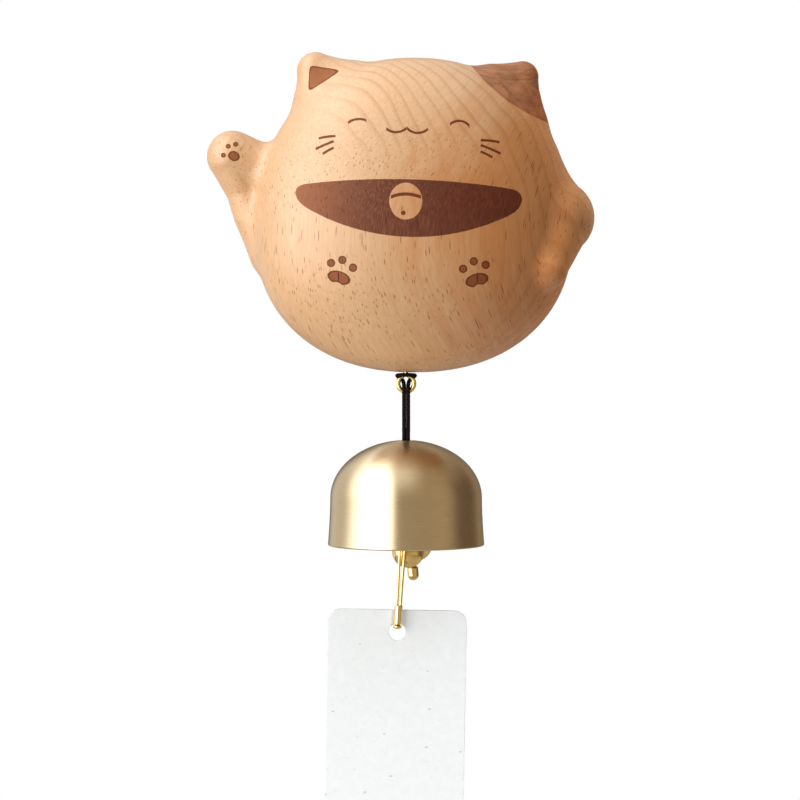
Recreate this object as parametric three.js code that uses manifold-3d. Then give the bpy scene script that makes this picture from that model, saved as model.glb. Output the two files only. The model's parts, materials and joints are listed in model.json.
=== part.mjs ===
// Lucky cat door chime: a turned and carved beech cat that sits flat on a door, and what hangs from it:
// a doubled cord, a brass bell, two ball clappers, a brass drop, a wire hook and a card.
// Millimetres, +Z up. The front faces -Y, and the origin is the middle of the back face, on the cord's line.
import * as THREE from 'three';
import { mergeVertices } from 'three/addons/utils/BufferGeometryUtils.js';
import Module from 'manifold-3d';

const wasm = await Module();
wasm.setup();

const { cos, sin, PI, abs, max, min, sign } = Math;
const degrees = THREE.MathUtils.degToRad;

// Clearance between pieces that bear on each other
const GAP = 0.3;

// Cat: one piece of beech. An egg with two ears, a raised arm and a resting arm, cut flat at the back.
const EGG_X = 1.9; // the egg's middle, right of the cord's line
const EGG_DEPTH = 20; // its widest outline, out from the door
const EGG_Z = -3;
const EGG_HALF_WIDTH = 39;
const EGG_UP = 42.7;
const EGG_DOWN = 34.4;
const EGG_FRONT = 24;
const EGG_BACK = 26;
const EGG_POWER = 2.2; // 2 is an ellipsoid, more is fuller
const EAR_BLEND = 5;
const RAISED_ARM_BLEND = 3.5;
const RESTING_ARM_BLEND = 3;
const BACK_EDGE_BLEND = 3;
const EAR_TIP_R = 4.6;
const EAR_ROOT_R = 11;
const PAW_R = 6.3;
const WRIST_R = 4.6;
const FOREARM_R = 4.2;
const RAISED_ELBOW_R = 3.8;
const RAISED_SHOULDER_R = 6.5;
const RESTING_SHOULDER_R = 8;
const RESTING_ELBOW_R = 9.4;
const RESTING_HAND_R = 4.5;

// Back: a felt pad, and two disc magnets glued into pockets behind it
const PAD_T = 1;
const PAD_SHARE = 0.6; // of the egg's outline
const MAGNET_R = 7.5;
const MAGNET_T = 3;
const MAGNET_APART = 24; // centre to centre

// Screw eye, brass wire
const EYE_DEPTH = 22; // out from the door
const EYE_WIRE_R = 0.55;
const EYE_RING_R = 1.95; // to the middle of the wire
const SHANK_R = 0.8;
const SHANK_LENGTH = 11; // inside the wood

// Waxed cotton cord, doubled
const CORD_R = 0.5;
const STRAND_APART = 1.06;
const CORD_DROP = 11.9; // from where it leaves the eye to the bell's crown
const UPPER_SHARE = 0.45; // of the drop, above the point where the cord is taken to bend sideways
const BEND_GAP = 0.7; // room for the cord to bend
const KNOT_R = 1.9;
const KNOT_HEIGHT = 2.2;
const LOOP_R = 1.3; // the cord's loop under the knot
const LOOP_LEG = 0.2;

// Bell: a spun brass dome with a slightly flared skirt
const BELL_RIM_R = 19;
const BELL_SHOULDER_R = 18.6;
const BELL_DOME_HEIGHT = 14.2;
const BELL_HEIGHT = 25.9;
const BELL_WALL = 1.2;
const CROWN_HOLE_R = 1.7;

// Hanger: a brass wire ring with a straight bar at the bottom, from which the clappers, drop and hook swing
const HANGER_WIRE_R = 0.5;
const HANGER_HEIGHT = 5.8; // from the cord's loop to the bar
const BAR_FRONT = 5.6; // how far the bar runs before and behind the cord's line
const BAR_BACK = 6.8;
const HANGER_SIDE = 2.8; // height of its upright ends

// Ball clappers on eye pins
const BALL_R = 3.9;
const PIN_R = 0.35;
const PIN_DEPTH = 3; // inside the ball
const EYE_LOOP_WIRE_R = 0.3;
const FRONT_BALL_Y = 0.6; // behind the cord's line
const FRONT_BALL_DROP = 15.6; // bar to ball centre
const FRONT_BALL_LEAN = -1.8;
const REAR_EYE_Y = 5.4;
const REAR_BALL_Y = 9.8;
const REAR_BALL_DROP = 14.9;
const REAR_BALL_LEAN = -9.4;

// Brass drop on a thin wire between the balls
const DROP_R = 1.35;
const DROP_LENGTH = 3.6;
const DROP_TOP = 19.3; // bar to the drop's top
const DROP_WIRE_R = 0.25;
const DROP_EYE_Y = 3.8;
const DROP_LOW_Y = 5.6;
const DROP_LEAN = -4.6;

// Wire hook that carries the card
const HOOK_WIRE_R = 0.35;
const HOOK_Y = -4; // before the cord's line
const HOOK_ARCH_R = 1.25;
const HOOK_SPREAD_LOW = 0.42; // from the middle to each leg, at the bottom
const HOOK_LOOP_LENGTH = 28.4;
const HOOK_LEAN = 3.6;
const SHOULDER_R = 0.8;
const SHOULDER_T = 0.6;
const HOOK_SHANK_R = 0.45;
const FERRULE_R = 0.95;
const FERRULE_LENGTH = 4.6;
const FERRULE_WALL = 0.2;
const FOOT_BELOW_FERRULE = 0.7;
const FOOT_RISE = 2.6;

// Card
const CARD_WIDTH = 34;
const CARD_LENGTH = 110;
const CARD_T = 0.6;
const CARD_CORNER = 3.2;
const CARD_HOLE_R = 2.1;
const CARD_HOLE_BELOW_TOP = 5.5;
const CARD_LEAN = 1.1;

// How finely the curved pieces are cut into faces
const BODY_CELL = 2.8;
const EVEN_ROUNDS = 4;
const WIRE_SIDES = 8;
const LOOP_STEPS = 20;
const BELL_STEPS = 40;
const DOME_STEPS = 8;
const BALL_STEPS = 20;

// Materials
const paint = (color, roughness, metalness = 0) => new THREE.MeshStandardMaterial({ color, roughness, metalness });
const beech = paint('#d9a877', 0.55);
const felt = paint('#3a3432', 0.95);
const magnetPlate = paint('#b9bcc0', 0.25, 1);
const brightBrass = paint('#e3b85c', 0.18, 1);
const satinBrass = paint('#b89a63', 0.32, 1);
const blackCord = paint('#2a1f20', 0.8);
const card = paint('#f4f6f5', 0.85);

const chime = new THREE.Group();

function piece(name, geometry, material, parent = chime) {
  const mesh = new THREE.Mesh(geometry, material);
  mesh.name = name;
  parent.add(mesh);
  return mesh;
}

// A closed geometry as a solid that can be joined and cut, and back again
function solid(geometry) {
  const bare = geometry.clone();
  bare.deleteAttribute('normal');
  bare.deleteAttribute('uv');
  const merged = mergeVertices(bare, 1e-4);
  return new wasm.Manifold(
    new wasm.Mesh({
      numProp: 3,
      vertProperties: new Float32Array(merged.attributes.position.array),
      triVerts: new Uint32Array(merged.index.array),
    }),
  );
}

function geometryOf(shape) {
  const { vertProperties, triVerts } = shape.getMesh();
  const geometry = new THREE.BufferGeometry();
  geometry.setAttribute('position', new THREE.BufferAttribute(vertProperties, 3));
  geometry.setIndex(new THREE.BufferAttribute(triVerts, 1));
  return geometry;
}

const joined = (...geometries) => geometryOf(geometries.map(solid).reduce((a, b) => a.add(b)));

// A section carried along a path, with flat ends
function tube(points, radius, steps, section = null) {
  const outline = section ?? new THREE.Shape().absarc(0, 0, radius, 0, 2 * PI);
  const path = points.length > 2 ? new THREE.CatmullRomCurve3(points) : new THREE.LineCurve3(...points);
  return new THREE.ExtrudeGeometry(outline, {
    steps,
    curveSegments: WIRE_SIDES / 4,
    bevelEnabled: false,
    extrudePath: path,
  });
}

// A round section of WIRE_SIDES corners
function round(radius) {
  const corners = Array.from({ length: WIRE_SIDES }, (_, i) => {
    const angle = (2 * PI * (i + 0.5)) / WIRE_SIDES;
    return new THREE.Vector2(radius * cos(angle), radius * sin(angle));
  });
  return new THREE.Shape(corners);
}

const wire = (points, radius, steps) => tube(points, radius, steps, round(radius));

// A wire ring in the plane x = 0, closed on itself, through the given y, z points
function closedWire(points, radius) {
  const curve = new THREE.CatmullRomCurve3(
    points.map(([y, z]) => new THREE.Vector3(0, y, z)),
    true,
    'centripetal',
  );
  const steps = points.length * 3;
  const positions = [];
  const faces = [];
  for (let i = 0; i < steps; i++) {
    const middle = curve.getPointAt(i / steps);
    const along = curve.getTangentAt(i / steps);
    const outward = new THREE.Vector3(0, along.z, -along.y);
    for (let j = 0; j < WIRE_SIDES; j++) {
      const angle = (2 * PI * j) / WIRE_SIDES;
      positions.push(
        middle.x + radius * sin(angle),
        middle.y + radius * cos(angle) * outward.y,
        middle.z + radius * cos(angle) * outward.z,
      );
      const here = i * WIRE_SIDES + j;
      const beside = i * WIRE_SIDES + ((j + 1) % WIRE_SIDES);
      const ahead = ((i + 1) % steps) * WIRE_SIDES + j;
      const across = ((i + 1) % steps) * WIRE_SIDES + ((j + 1) % WIRE_SIDES);
      faces.push(here, ahead, beside, beside, ahead, across);
    }
  }
  const geometry = new THREE.BufferGeometry();
  geometry.setAttribute('position', new THREE.Float32BufferAttribute(positions, 3));
  geometry.setIndex(faces);
  return geometry;
}

// The egg's surface: less than 0 inside, and about the distance in mm near it
function egg(x, depth, z) {
  const q = [x - EGG_X, depth - EGG_DEPTH, z - EGG_Z];
  const half = [EGG_HALF_WIDTH, q[1] > 0 ? EGG_FRONT : EGG_BACK, q[2] > 0 ? EGG_UP : EGG_DOWN];
  const share = q.map((v, i) => abs(v) / half[i]);
  const size = max(share.reduce((sum, s) => sum + s ** EGG_POWER, 0), 1e-9) ** (1 / EGG_POWER);
  const slope = share.map((s, i) => (s ** (EGG_POWER - 1) / half[i]) * size ** (1 - EGG_POWER));
  return (size - 1) / max(Math.hypot(...slope), 1e-6);
}

// A point of a limb: across and up are shares of the egg's half sizes, from its middle
const joint = (across, depth, up, radius) => ({
  at: new THREE.Vector3(EGG_X + across * EGG_HALF_WIDTH, depth, EGG_Z + up * (up > 0 ? EGG_UP : EGG_DOWN)),
  radius,
});

const LIMBS = [
  {
    blend: EAR_BLEND, // left ear: root, tip, and the ridge that runs in from the tip
    joints: [
      joint(-0.433, EGG_DEPTH, 0.632, EAR_ROOT_R),
      joint(-0.618, EGG_DEPTH - 1, 0.932, EAR_TIP_R),
      joint(-0.446, EGG_DEPTH - 0.5, 0.857, EAR_TIP_R + 0.8),
    ],
  },
  {
    blend: EAR_BLEND, // right ear
    joints: [
      joint(0.49, EGG_DEPTH, 0.597, EAR_ROOT_R + 0.5),
      joint(0.674, EGG_DEPTH - 1, 0.867, EAR_TIP_R + 0.1),
      joint(0.528, EGG_DEPTH - 0.5, 0.843, EAR_TIP_R + 0.6),
    ],
  },
  {
    blend: RAISED_ARM_BLEND, // shoulder, paw, then down the outside of the arm
    joints: [
      joint(-0.895, EGG_DEPTH - 2, 0.328, RAISED_SHOULDER_R),
      joint(-1.146, EGG_DEPTH - 1, 0.436, PAW_R),
      joint(-1.064, EGG_DEPTH - 1.5, 0.234, WRIST_R),
      joint(-1.028, EGG_DEPTH - 1.5, 0.094, FOREARM_R),
      joint(-0.933, EGG_DEPTH - 2, -0.16, RAISED_ELBOW_R),
    ],
  },
  {
    blend: RESTING_ARM_BLEND, // shoulder, elbow, and the hand that lies on the belly
    joints: [
      joint(0.797, EGG_DEPTH - 1, 0.222, RESTING_SHOULDER_R),
      joint(0.892, EGG_DEPTH, 0.082, RESTING_ELBOW_R),
      joint(0.841, EGG_DEPTH + 9.5, -0.262, RESTING_HAND_R),
    ],
  },
];

// Distance from a tapered rod with round ends
function rod(point, a, b) {
  const along = b.at.clone().sub(a.at);
  const share = min(max(point.clone().sub(a.at).dot(along) / along.lengthSq(), 0), 1);
  const nearest = a.at.clone().addScaledVector(along, share);
  return point.distanceTo(nearest) - (a.radius + (b.radius - a.radius) * share);
}

function smoothMin(a, b, blend) {
  const near = max(blend - abs(a - b), 0) / blend;
  return min(a, b) - (near * near * blend) / 4;
}

const BACK_ALLOWANCE = 0.05; // wood left past the back face, which the flat cut takes off

// The whole cat's surface, in x, depth and z
function cat(x, depth, z) {
  const point = new THREE.Vector3(x, depth, z);
  let distance = egg(x, depth, z);
  for (const { blend, joints } of LIMBS) {
    const limb = min(...joints.slice(1).map((next, i) => rod(point, joints[i], next)));
    distance = smoothMin(distance, limb, blend);
  }
  return -smoothMin(-distance, -(PAD_T - BACK_ALLOWANCE - depth), BACK_EDGE_BLEND);
}

// Cells of a grid that the cat's surface passes through, a corner for each, and a face for each grid line that
// it crosses. The corners are then evened out along the surface.
function catGeometry() {
  const low = [EGG_X - EGG_HALF_WIDTH * 1.4, -BODY_CELL, EGG_Z - EGG_DOWN * 1.1];
  const high = [EGG_X + EGG_HALF_WIDTH * 1.3, EGG_DEPTH + EGG_FRONT + BODY_CELL, EGG_Z + EGG_UP * 1.1];
  const counts = low.map((v, axis) => Math.ceil((high[axis] - v) / BODY_CELL));
  const code = ([i, j, k]) => (i * counts[1] + j) * counts[2] + k;
  const place = (cell, shift) => cell.map((v, axis) => low[axis] + (v + shift) * BODY_CELL);
  const inside = new Map();
  const isInside = (cell) => {
    const key = code(cell);
    if (!inside.has(key)) inside.set(key, cat(...place(cell, 0)) < 0);
    return inside.get(key);
  };
  const points = [];
  const pointOf = new Map();
  const pointAt = (cell) => {
    const key = code(cell);
    if (!pointOf.has(key)) {
      pointOf.set(key, points.length);
      points.push(place(cell, 0.5));
    }
    return pointOf.get(key);
  };
  const index = [];
  for (let i = 1; i < counts[0]; i++) {
    for (let j = 1; j < counts[1]; j++) {
      for (let k = 1; k < counts[2]; k++) {
        const cell = [i, j, k];
        for (let axis = 0; axis < 3; axis++) {
          const back = (first, second) => {
            const other = cell.slice();
            other[(axis + 1) % 3] -= first;
            other[(axis + 2) % 3] -= second;
            return pointAt(other);
          };
          const ahead = cell.slice();
          ahead[axis] += 1;
          if (isInside(cell) === isInside(ahead)) continue;
          const around = [back(0, 0), back(1, 0), back(1, 1), back(0, 1)];
          if (isInside(cell)) around.reverse();
          index.push(around[0], around[1], around[2], around[0], around[2], around[3]);
        }
      }
    }
  }
  evenOut(points, index);
  const geometry = new THREE.BufferGeometry();
  const positions = points.flatMap(([x, depth, z]) => [x, -depth, z]);
  geometry.setAttribute('position', new THREE.Float32BufferAttribute(positions, 3));
  geometry.setIndex(index);
  return geometry;
}

// Each corner moves towards the middle of those beside it, and back onto the surface
function evenOut(points, index) {
  const beside = points.map(() => new Set());
  for (let i = 0; i < index.length; i += 3) {
    for (let j = 0; j < 3; j++) {
      beside[index[i + j]].add(index[i + ((j + 1) % 3)]);
      beside[index[i + j]].add(index[i + ((j + 2) % 3)]);
    }
  }
  for (let round = 0; round < EVEN_ROUNDS; round++) {
    const moved = points.map((point, i) => {
      const mean = [0, 0, 0];
      for (const k of beside[i]) points[k].forEach((v, axis) => (mean[axis] += v / beside[i].size));
      return point.map((v, axis) => (v + mean[axis]) / 2);
    });
    moved.forEach((point, i) => (points[i] = ontoCat(ontoCat(point))));
  }
}

// One step down the slope onto the cat's surface
function ontoCat(point) {
  const step = 0.01;
  const here = cat(...point);
  const slope = point.map((_, axis) => {
    const ahead = point.slice();
    ahead[axis] += step;
    return (cat(...ahead) - here) / step;
  });
  const steep = max(slope.reduce((sum, s) => sum + s * s, 0), 0.01);
  return point.map((v, axis) => v - (here * slope[axis]) / steep);
}

// The height of the cat's underside at a place
function seatUnder(x, depth) {
  let z = EGG_Z - EGG_DOWN;
  for (let i = 0; i < 20; i++) z += cat(x, depth, z);
  return z;
}

// A disc or rod along Y, from one y to another
function along(radius, x, from, to, z, sides = 32) {
  const geometry = new THREE.CylinderGeometry(radius, radius, to - from, sides);
  return geometry.translate(0, (from + to) / 2, 0).translate(x, 0, z);
}

// A rod along Z
function upright(radius, x, y, from, to, sides = 16) {
  const geometry = new THREE.CylinderGeometry(radius, radius, to - from, sides).rotateX(PI / 2);
  return geometry.translate(x, y, (from + to) / 2);
}

// Cat, with its flat back, the magnets' pockets and the screw eye's hole
const WOOD_BACK = -PAD_T;
const EYE_Y = -EYE_DEPTH;
const SEAT_Z = seatUnder(0, EYE_DEPTH);
const MAGNET_Z = EGG_Z;
const magnetXs = [EGG_X - MAGNET_APART / 2, EGG_X + MAGNET_APART / 2];
const MAGNET_BACK = WOOD_BACK - GAP;

function catBody() {
  const behind = new THREE.BoxGeometry(200, 20, 200).translate(0, WOOD_BACK + 10, 0);
  let wood = solid(catGeometry()).subtract(solid(behind));
  for (const x of magnetXs) {
    const floor = MAGNET_BACK - MAGNET_T - GAP;
    wood = wood.subtract(solid(along(MAGNET_R + GAP, x, floor, WOOD_BACK + 1, MAGNET_Z)));
  }
  const hole = upright(SHANK_R + GAP, 0, EYE_Y, SEAT_Z - 2, SEAT_Z + SHANK_LENGTH + GAP);
  return geometryOf(wood.subtract(solid(hole)));
}
piece('cat_body', catBody(), beech);

// The pad follows the egg's outline
function padGeometry() {
  const outline = new THREE.Shape();
  const corners = 40;
  for (let i = 0; i < corners; i++) {
    const angle = (2 * PI * i) / corners;
    const across = sign(cos(angle)) * abs(cos(angle)) ** (2 / EGG_POWER);
    const up = sign(sin(angle)) * abs(sin(angle)) ** (2 / EGG_POWER);
    const x = EGG_X + PAD_SHARE * EGG_HALF_WIDTH * across;
    const z = EGG_Z + PAD_SHARE * (up > 0 ? EGG_UP : EGG_DOWN) * up;
    outline[i ? 'lineTo' : 'moveTo'](x, z);
  }
  const flat = new THREE.ExtrudeGeometry(outline, { depth: PAD_T, bevelEnabled: false, curveSegments: 1 });
  return flat.rotateX(PI / 2);
}
piece('back_pad', padGeometry(), felt);
piece('magnet_left', along(MAGNET_R, magnetXs[0], MAGNET_BACK - MAGNET_T, MAGNET_BACK, MAGNET_Z), magnetPlate);
piece('magnet_right', along(MAGNET_R, magnetXs[1], MAGNET_BACK - MAGNET_T, MAGNET_BACK, MAGNET_Z), magnetPlate);

// Screw eye: its ring faces the front, just under the wood
const RING_Z = SEAT_Z - GAP - EYE_WIRE_R - EYE_RING_R;
const ring = new THREE.TorusGeometry(EYE_RING_R, EYE_WIRE_R, WIRE_SIDES, 24).rotateX(PI / 2).translate(0, EYE_Y, RING_Z);
const shank = upright(SHANK_R, 0, EYE_Y, RING_Z + EYE_RING_R, SEAT_Z + SHANK_LENGTH, 12);
piece('screw_eye', joined(ring, shank), brightBrass);

// Cord. It is hitched on the eye: a bar across the front, round both sides to the back, forward through the
// ring, and down before the ring's lowest point.
const HANG_Y = EYE_Y - EYE_WIRE_R - GAP - CORD_R;
const STRAND_X = STRAND_APART / 2;
const LEAVE_Z = RING_Z - EYE_RING_R + 0.1;
const RING_TOP_Z = RING_Z + EYE_RING_R;
const BEHIND_Y = EYE_Y + EYE_WIRE_R + GAP + CORD_R;
const half = [
  [0, HANG_Y, RING_TOP_Z - 0.1],
  [1.5, HANG_Y, RING_TOP_Z - 0.1],
  [2.45, HANG_Y + 0.55, RING_TOP_Z - 0.15],
  [2.5, EYE_Y + 0.4, RING_TOP_Z - 0.25],
  [1.75, BEHIND_Y, RING_TOP_Z - 0.65],
  [0.85, BEHIND_Y - 0.35, RING_Z + 0.75],
  [STRAND_X + 0.05, EYE_Y, RING_Z - 0.1],
  [STRAND_X, HANG_Y + 0.25, RING_Z - 0.95],
  [STRAND_X, HANG_Y, RING_Z - 1.6],
  [STRAND_X, HANG_Y, LEAVE_Z],
];
const mirrored = half.slice(1).reverse().map(([x, y, z]) => [-x, y, z]);
const hitch = [...mirrored, ...half].map((p) => new THREE.Vector3(...p));
piece('cord_hitch', wire(hitch, CORD_R, 40), blackCord);

// Both strands side by side, as one flat bundle
function strands(from, to) {
  const bundle = new THREE.Shape();
  bundle.absarc(STRAND_X, 0, CORD_R, -PI / 2, PI / 2);
  bundle.absarc(-STRAND_X, 0, CORD_R, PI / 2, (3 * PI) / 2);
  const flat = new THREE.ExtrudeGeometry(bundle, { depth: to - from, bevelEnabled: false, curveSegments: 5 });
  return flat.translate(0, HANG_Y, from);
}
const CROWN_Z = LEAVE_Z - CORD_DROP;
const SWAY_Z = LEAVE_Z - CORD_DROP * UPPER_SHARE;
const KNOT_TOP_Z = CROWN_Z - BELL_WALL - GAP;
piece('cord_upper', strands(SWAY_Z + BEND_GAP / 2, LEAVE_Z - BEND_GAP), blackCord);
piece('cord_lower', strands(KNOT_TOP_Z, SWAY_Z - BEND_GAP / 2), blackCord);

// Knot under the crown, flat where the strands enter it
const knot = new THREE.SphereGeometry(1, 16, 10).rotateX(PI / 2).scale(KNOT_R, KNOT_R * 0.85, KNOT_HEIGHT / 2);
const KNOT_Z = KNOT_TOP_Z - GAP - KNOT_HEIGHT / 2;
piece('crown_knot', knot.translate(0, HANG_Y, KNOT_Z), blackCord);

// Loop under the knot, in which the hanger hangs
const KNOT_LOW_Z = KNOT_Z - KNOT_HEIGHT / 2;
const LOOP_TOP_Z = KNOT_LOW_Z - GAP;
const LOOP_MIDDLE_Z = LOOP_TOP_Z - LOOP_LEG;
const LOOP_LOW_Z = LOOP_MIDDLE_Z - LOOP_R;
const loopArc = Array.from({ length: 9 }, (_, i) => {
  const angle = PI + (PI * i) / 8;
  return new THREE.Vector3(LOOP_R * cos(angle), HANG_Y, LOOP_MIDDLE_Z + LOOP_R * sin(angle));
});
const loopPath = [
  new THREE.Vector3(-LOOP_R, HANG_Y, LOOP_TOP_Z),
  ...loopArc,
  new THREE.Vector3(LOOP_R, HANG_Y, LOOP_TOP_Z),
];
piece('clapper_loop', wire(loopPath, CORD_R, 14), blackCord);

// Bell: half a dome's profile outside, the same less the wall inside
function bellGeometry() {
  const profile = [];
  const dome = (radius, height, top, hole, inward) => {
    const start = Math.asin(hole / radius);
    const points = [];
    for (let i = 0; i <= DOME_STEPS; i++) {
      const angle = start + ((PI / 2 - start) * i) / DOME_STEPS;
      points.push(new THREE.Vector2(radius * sin(angle), top - height * (1 - cos(angle))));
    }
    return inward ? points.reverse() : points;
  };
  profile.push(...dome(BELL_SHOULDER_R, BELL_DOME_HEIGHT, 0, CROWN_HOLE_R, false));
  profile.push(new THREE.Vector2(BELL_RIM_R, -BELL_HEIGHT + 0.3));
  profile.push(new THREE.Vector2(BELL_RIM_R - 0.3, -BELL_HEIGHT));
  profile.push(new THREE.Vector2(BELL_RIM_R - BELL_WALL, -BELL_HEIGHT));
  profile.push(...dome(BELL_SHOULDER_R - BELL_WALL, BELL_DOME_HEIGHT - BELL_WALL, -BELL_WALL, CROWN_HOLE_R, true));
  profile.push(profile[0].clone());
  profile.reverse();
  return new THREE.LatheGeometry(profile, BELL_STEPS).rotateX(PI / 2).translate(0, HANG_Y, CROWN_Z);
}
piece('bell_dome', bellGeometry(), satinBrass);

// Hanger: its top bends round the cord's loop, and its bar is straight
const APEX_R = CORD_R + GAP + HANGER_WIRE_R;
const BAR_Z = LOOP_LOW_Z - HANGER_HEIGHT;
const slopeTop = LOOP_LOW_Z - BAR_Z;
const hangerPoints = [
  [-BAR_FRONT * 0.5, 0],
  [0, 0],
  [BAR_BACK * 0.5, 0],
  [BAR_BACK - 1, 0],
  [BAR_BACK - 0.1, 0.35],
  [BAR_BACK + 0.3, 1.2],
  [BAR_BACK + 0.1, HANGER_SIDE],
  [BAR_BACK * 0.55, slopeTop - 1.4],
  [APEX_R * 1.05, slopeTop - 0.2],
  [APEX_R * 0.8, slopeTop + APEX_R * 0.75],
  [0, slopeTop + APEX_R + 0.05],
  [-APEX_R * 0.8, slopeTop + APEX_R * 0.75],
  [-APEX_R * 1.05, slopeTop - 0.2],
  [-BAR_FRONT * 0.55, slopeTop - 1.4],
  [-BAR_FRONT - 0.1, HANGER_SIDE],
  [-BAR_FRONT - 0.3, 1.2],
  [-BAR_FRONT + 0.1, 0.35],
  [-BAR_FRONT + 1, 0],
];
piece('clapper_hanger', closedWire(hangerPoints, HANGER_WIRE_R).translate(0, HANG_Y, BAR_Z), brightBrass);

// What swings on the bar is made hanging straight down from the middle of its eye, then leaned
const EYE_LOOP_R = HANGER_WIRE_R + GAP + EYE_LOOP_WIRE_R;

function swinging(y, lean, back = 0) {
  const group = new THREE.Group();
  group.position.set(0, HANG_Y + y, BAR_Z);
  group.rotation.set(back, lean, 0, 'YXZ');
  chime.add(group);
  return group;
}
const eyeLoop = () => new THREE.TorusGeometry(EYE_LOOP_R, EYE_LOOP_WIRE_R, WIRE_SIDES, LOOP_STEPS).rotateX(PI / 2);

// A brass bead with a blind hole for its pin, and the pin with an eye at its top
function ballClapper(side, y, drop, lean, back = 0) {
  const group = swinging(y, degrees(lean), back);
  const boreR = PIN_R + GAP;
  const rimAngle = Math.asin(boreR / BALL_R);
  const floorZ = BALL_R * cos(rimAngle) - PIN_DEPTH - GAP;
  const profile = [new THREE.Vector2(0, -BALL_R)];
  const rows = BALL_STEPS / 2;
  for (let i = 1; i <= rows; i++) {
    const angle = PI - ((PI - rimAngle) * i) / rows;
    profile.push(new THREE.Vector2(BALL_R * sin(angle), BALL_R * cos(angle)));
  }
  profile.push(new THREE.Vector2(boreR, floorZ));
  profile.push(new THREE.Vector2(0, floorZ));
  const ball = new THREE.LatheGeometry(profile, BALL_STEPS).rotateX(PI / 2).translate(0, 0, -drop);
  piece(`clapper_ball_${side}`, ball, brightBrass, group);
  const pinLow = -drop + BALL_R * cos(rimAngle) - PIN_DEPTH;
  const pin = upright(PIN_R, 0, 0, pinLow, -EYE_LOOP_R, 8);
  piece(`clapper_pin_${side}`, joined(eyeLoop(), pin), brightBrass, group);
}
ballClapper('front', FRONT_BALL_Y, FRONT_BALL_DROP, FRONT_BALL_LEAN);
const rearBack = Math.atan2(REAR_BALL_Y - REAR_EYE_Y, REAR_BALL_DROP);
ballClapper('rear', REAR_EYE_Y, REAR_BALL_DROP / cos(rearBack), REAR_BALL_LEAN, rearBack);

// Brass drop: a rounded bullet, its wire and its eye in one
const dropGroup = swinging(DROP_EYE_Y, degrees(DROP_LEAN), Math.atan2(DROP_LOW_Y - DROP_EYE_Y, DROP_TOP));
const bullet = [new THREE.Vector2(0, -DROP_TOP - DROP_LENGTH)];
for (let i = 1; i <= 5; i++) {
  const angle = (PI / 2) * (i / 5);
  bullet.push(new THREE.Vector2(DROP_R * sin(angle), -DROP_TOP - DROP_LENGTH + DROP_R * (1 - cos(angle))));
}
bullet.push(new THREE.Vector2(DROP_R, -DROP_TOP - 0.4));
bullet.push(new THREE.Vector2(DROP_R * 0.7, -DROP_TOP));
bullet.push(new THREE.Vector2(0, -DROP_TOP));
const bulletSolid = new THREE.LatheGeometry(bullet, 16).rotateX(PI / 2);
const dropWire = upright(DROP_WIRE_R, 0, 0, -DROP_TOP - 1, -EYE_LOOP_R, 8);
piece('brass_drop', joined(bulletSolid, dropWire, eyeLoop()), brightBrass, dropGroup);

// Hook: a long wire loop over the bar, brazed to a shank that runs through the ferrule, back through the
// card's hole and up behind the card
const hookGroup = swinging(HOOK_Y, degrees(HOOK_LEAN));
const ARCH_Z = HANGER_WIRE_R + GAP + HOOK_WIRE_R - HOOK_ARCH_R;
const FERRULE_TOP = HOOK_LOOP_LENGTH + GAP + 0.1;
const FOOT_Z = -(FERRULE_TOP + FERRULE_LENGTH + FOOT_BELOW_FERRULE);
const CARD_FRONT_Y = FERRULE_R + GAP;
const FOOT_BACK_Y = CARD_FRONT_Y + CARD_T + GAP + HOOK_SHANK_R + 0.5;

function hookGeometry() {
  const arch = Array.from({ length: 9 }, (_, i) => {
    const angle = PI - (PI * i) / 8;
    return new THREE.Vector3(HOOK_ARCH_R * cos(angle), 0, ARCH_Z + HOOK_ARCH_R * sin(angle));
  });
  const leg = (side, share) => {
    const spread = HOOK_ARCH_R + (HOOK_SPREAD_LOW - HOOK_ARCH_R) * share;
    return new THREE.Vector3(side * spread, 0, ARCH_Z * (1 - share) - HOOK_LOOP_LENGTH * share);
  };
  const shares = [0.25, 0.5, 0.75, 1];
  const path = [...shares.toReversed().map((s) => leg(-1, s)), ...arch, ...shares.map((s) => leg(1, s))];
  const loop = wire(path, HOOK_WIRE_R, 32);
  const shoulderTop = -HOOK_LOOP_LENGTH + SHOULDER_T - 0.1;
  const shoulder = upright(SHOULDER_R, 0, 0, shoulderTop - SHOULDER_T, shoulderTop, 16);
  const turn = FOOT_BELOW_FERRULE * 0.8;
  const footPath = [
    new THREE.Vector3(0, 0, -HOOK_LOOP_LENGTH + 0.2),
    new THREE.Vector3(0, 0, FOOT_Z + turn + 1),
    new THREE.Vector3(0, 0, FOOT_Z + turn),
    new THREE.Vector3(0, turn, FOOT_Z),
    new THREE.Vector3(0, FOOT_BACK_Y - 0.7, FOOT_Z),
    new THREE.Vector3(0, FOOT_BACK_Y, FOOT_Z + 0.7),
    new THREE.Vector3(0, FOOT_BACK_Y, FOOT_Z + FOOT_RISE),
  ];
  const foot = wire(footPath, HOOK_SHANK_R, 22);
  const bead = new THREE.SphereGeometry(FERRULE_R, 14, 8).rotateX(PI / 2).scale(1, 0.9, 0.6).translate(0, 0, FOOT_Z);
  return joined(loop, shoulder, foot, bead);
}
piece('tag_hook', hookGeometry(), brightBrass, hookGroup);

function ferruleGeometry() {
  const inner = FERRULE_R - FERRULE_WALL;
  const profile = [
    [inner, -FERRULE_TOP - FERRULE_LENGTH],
    [FERRULE_R, -FERRULE_TOP - FERRULE_LENGTH],
    [FERRULE_R, -FERRULE_TOP],
    [inner, -FERRULE_TOP],
    [inner, -FERRULE_TOP - FERRULE_LENGTH],
  ].map(([r, z]) => new THREE.Vector2(r, z));
  return new THREE.LatheGeometry(profile, 16).rotateX(PI / 2);
}
piece('hook_ferrule', ferruleGeometry(), brightBrass, hookGroup);

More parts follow.
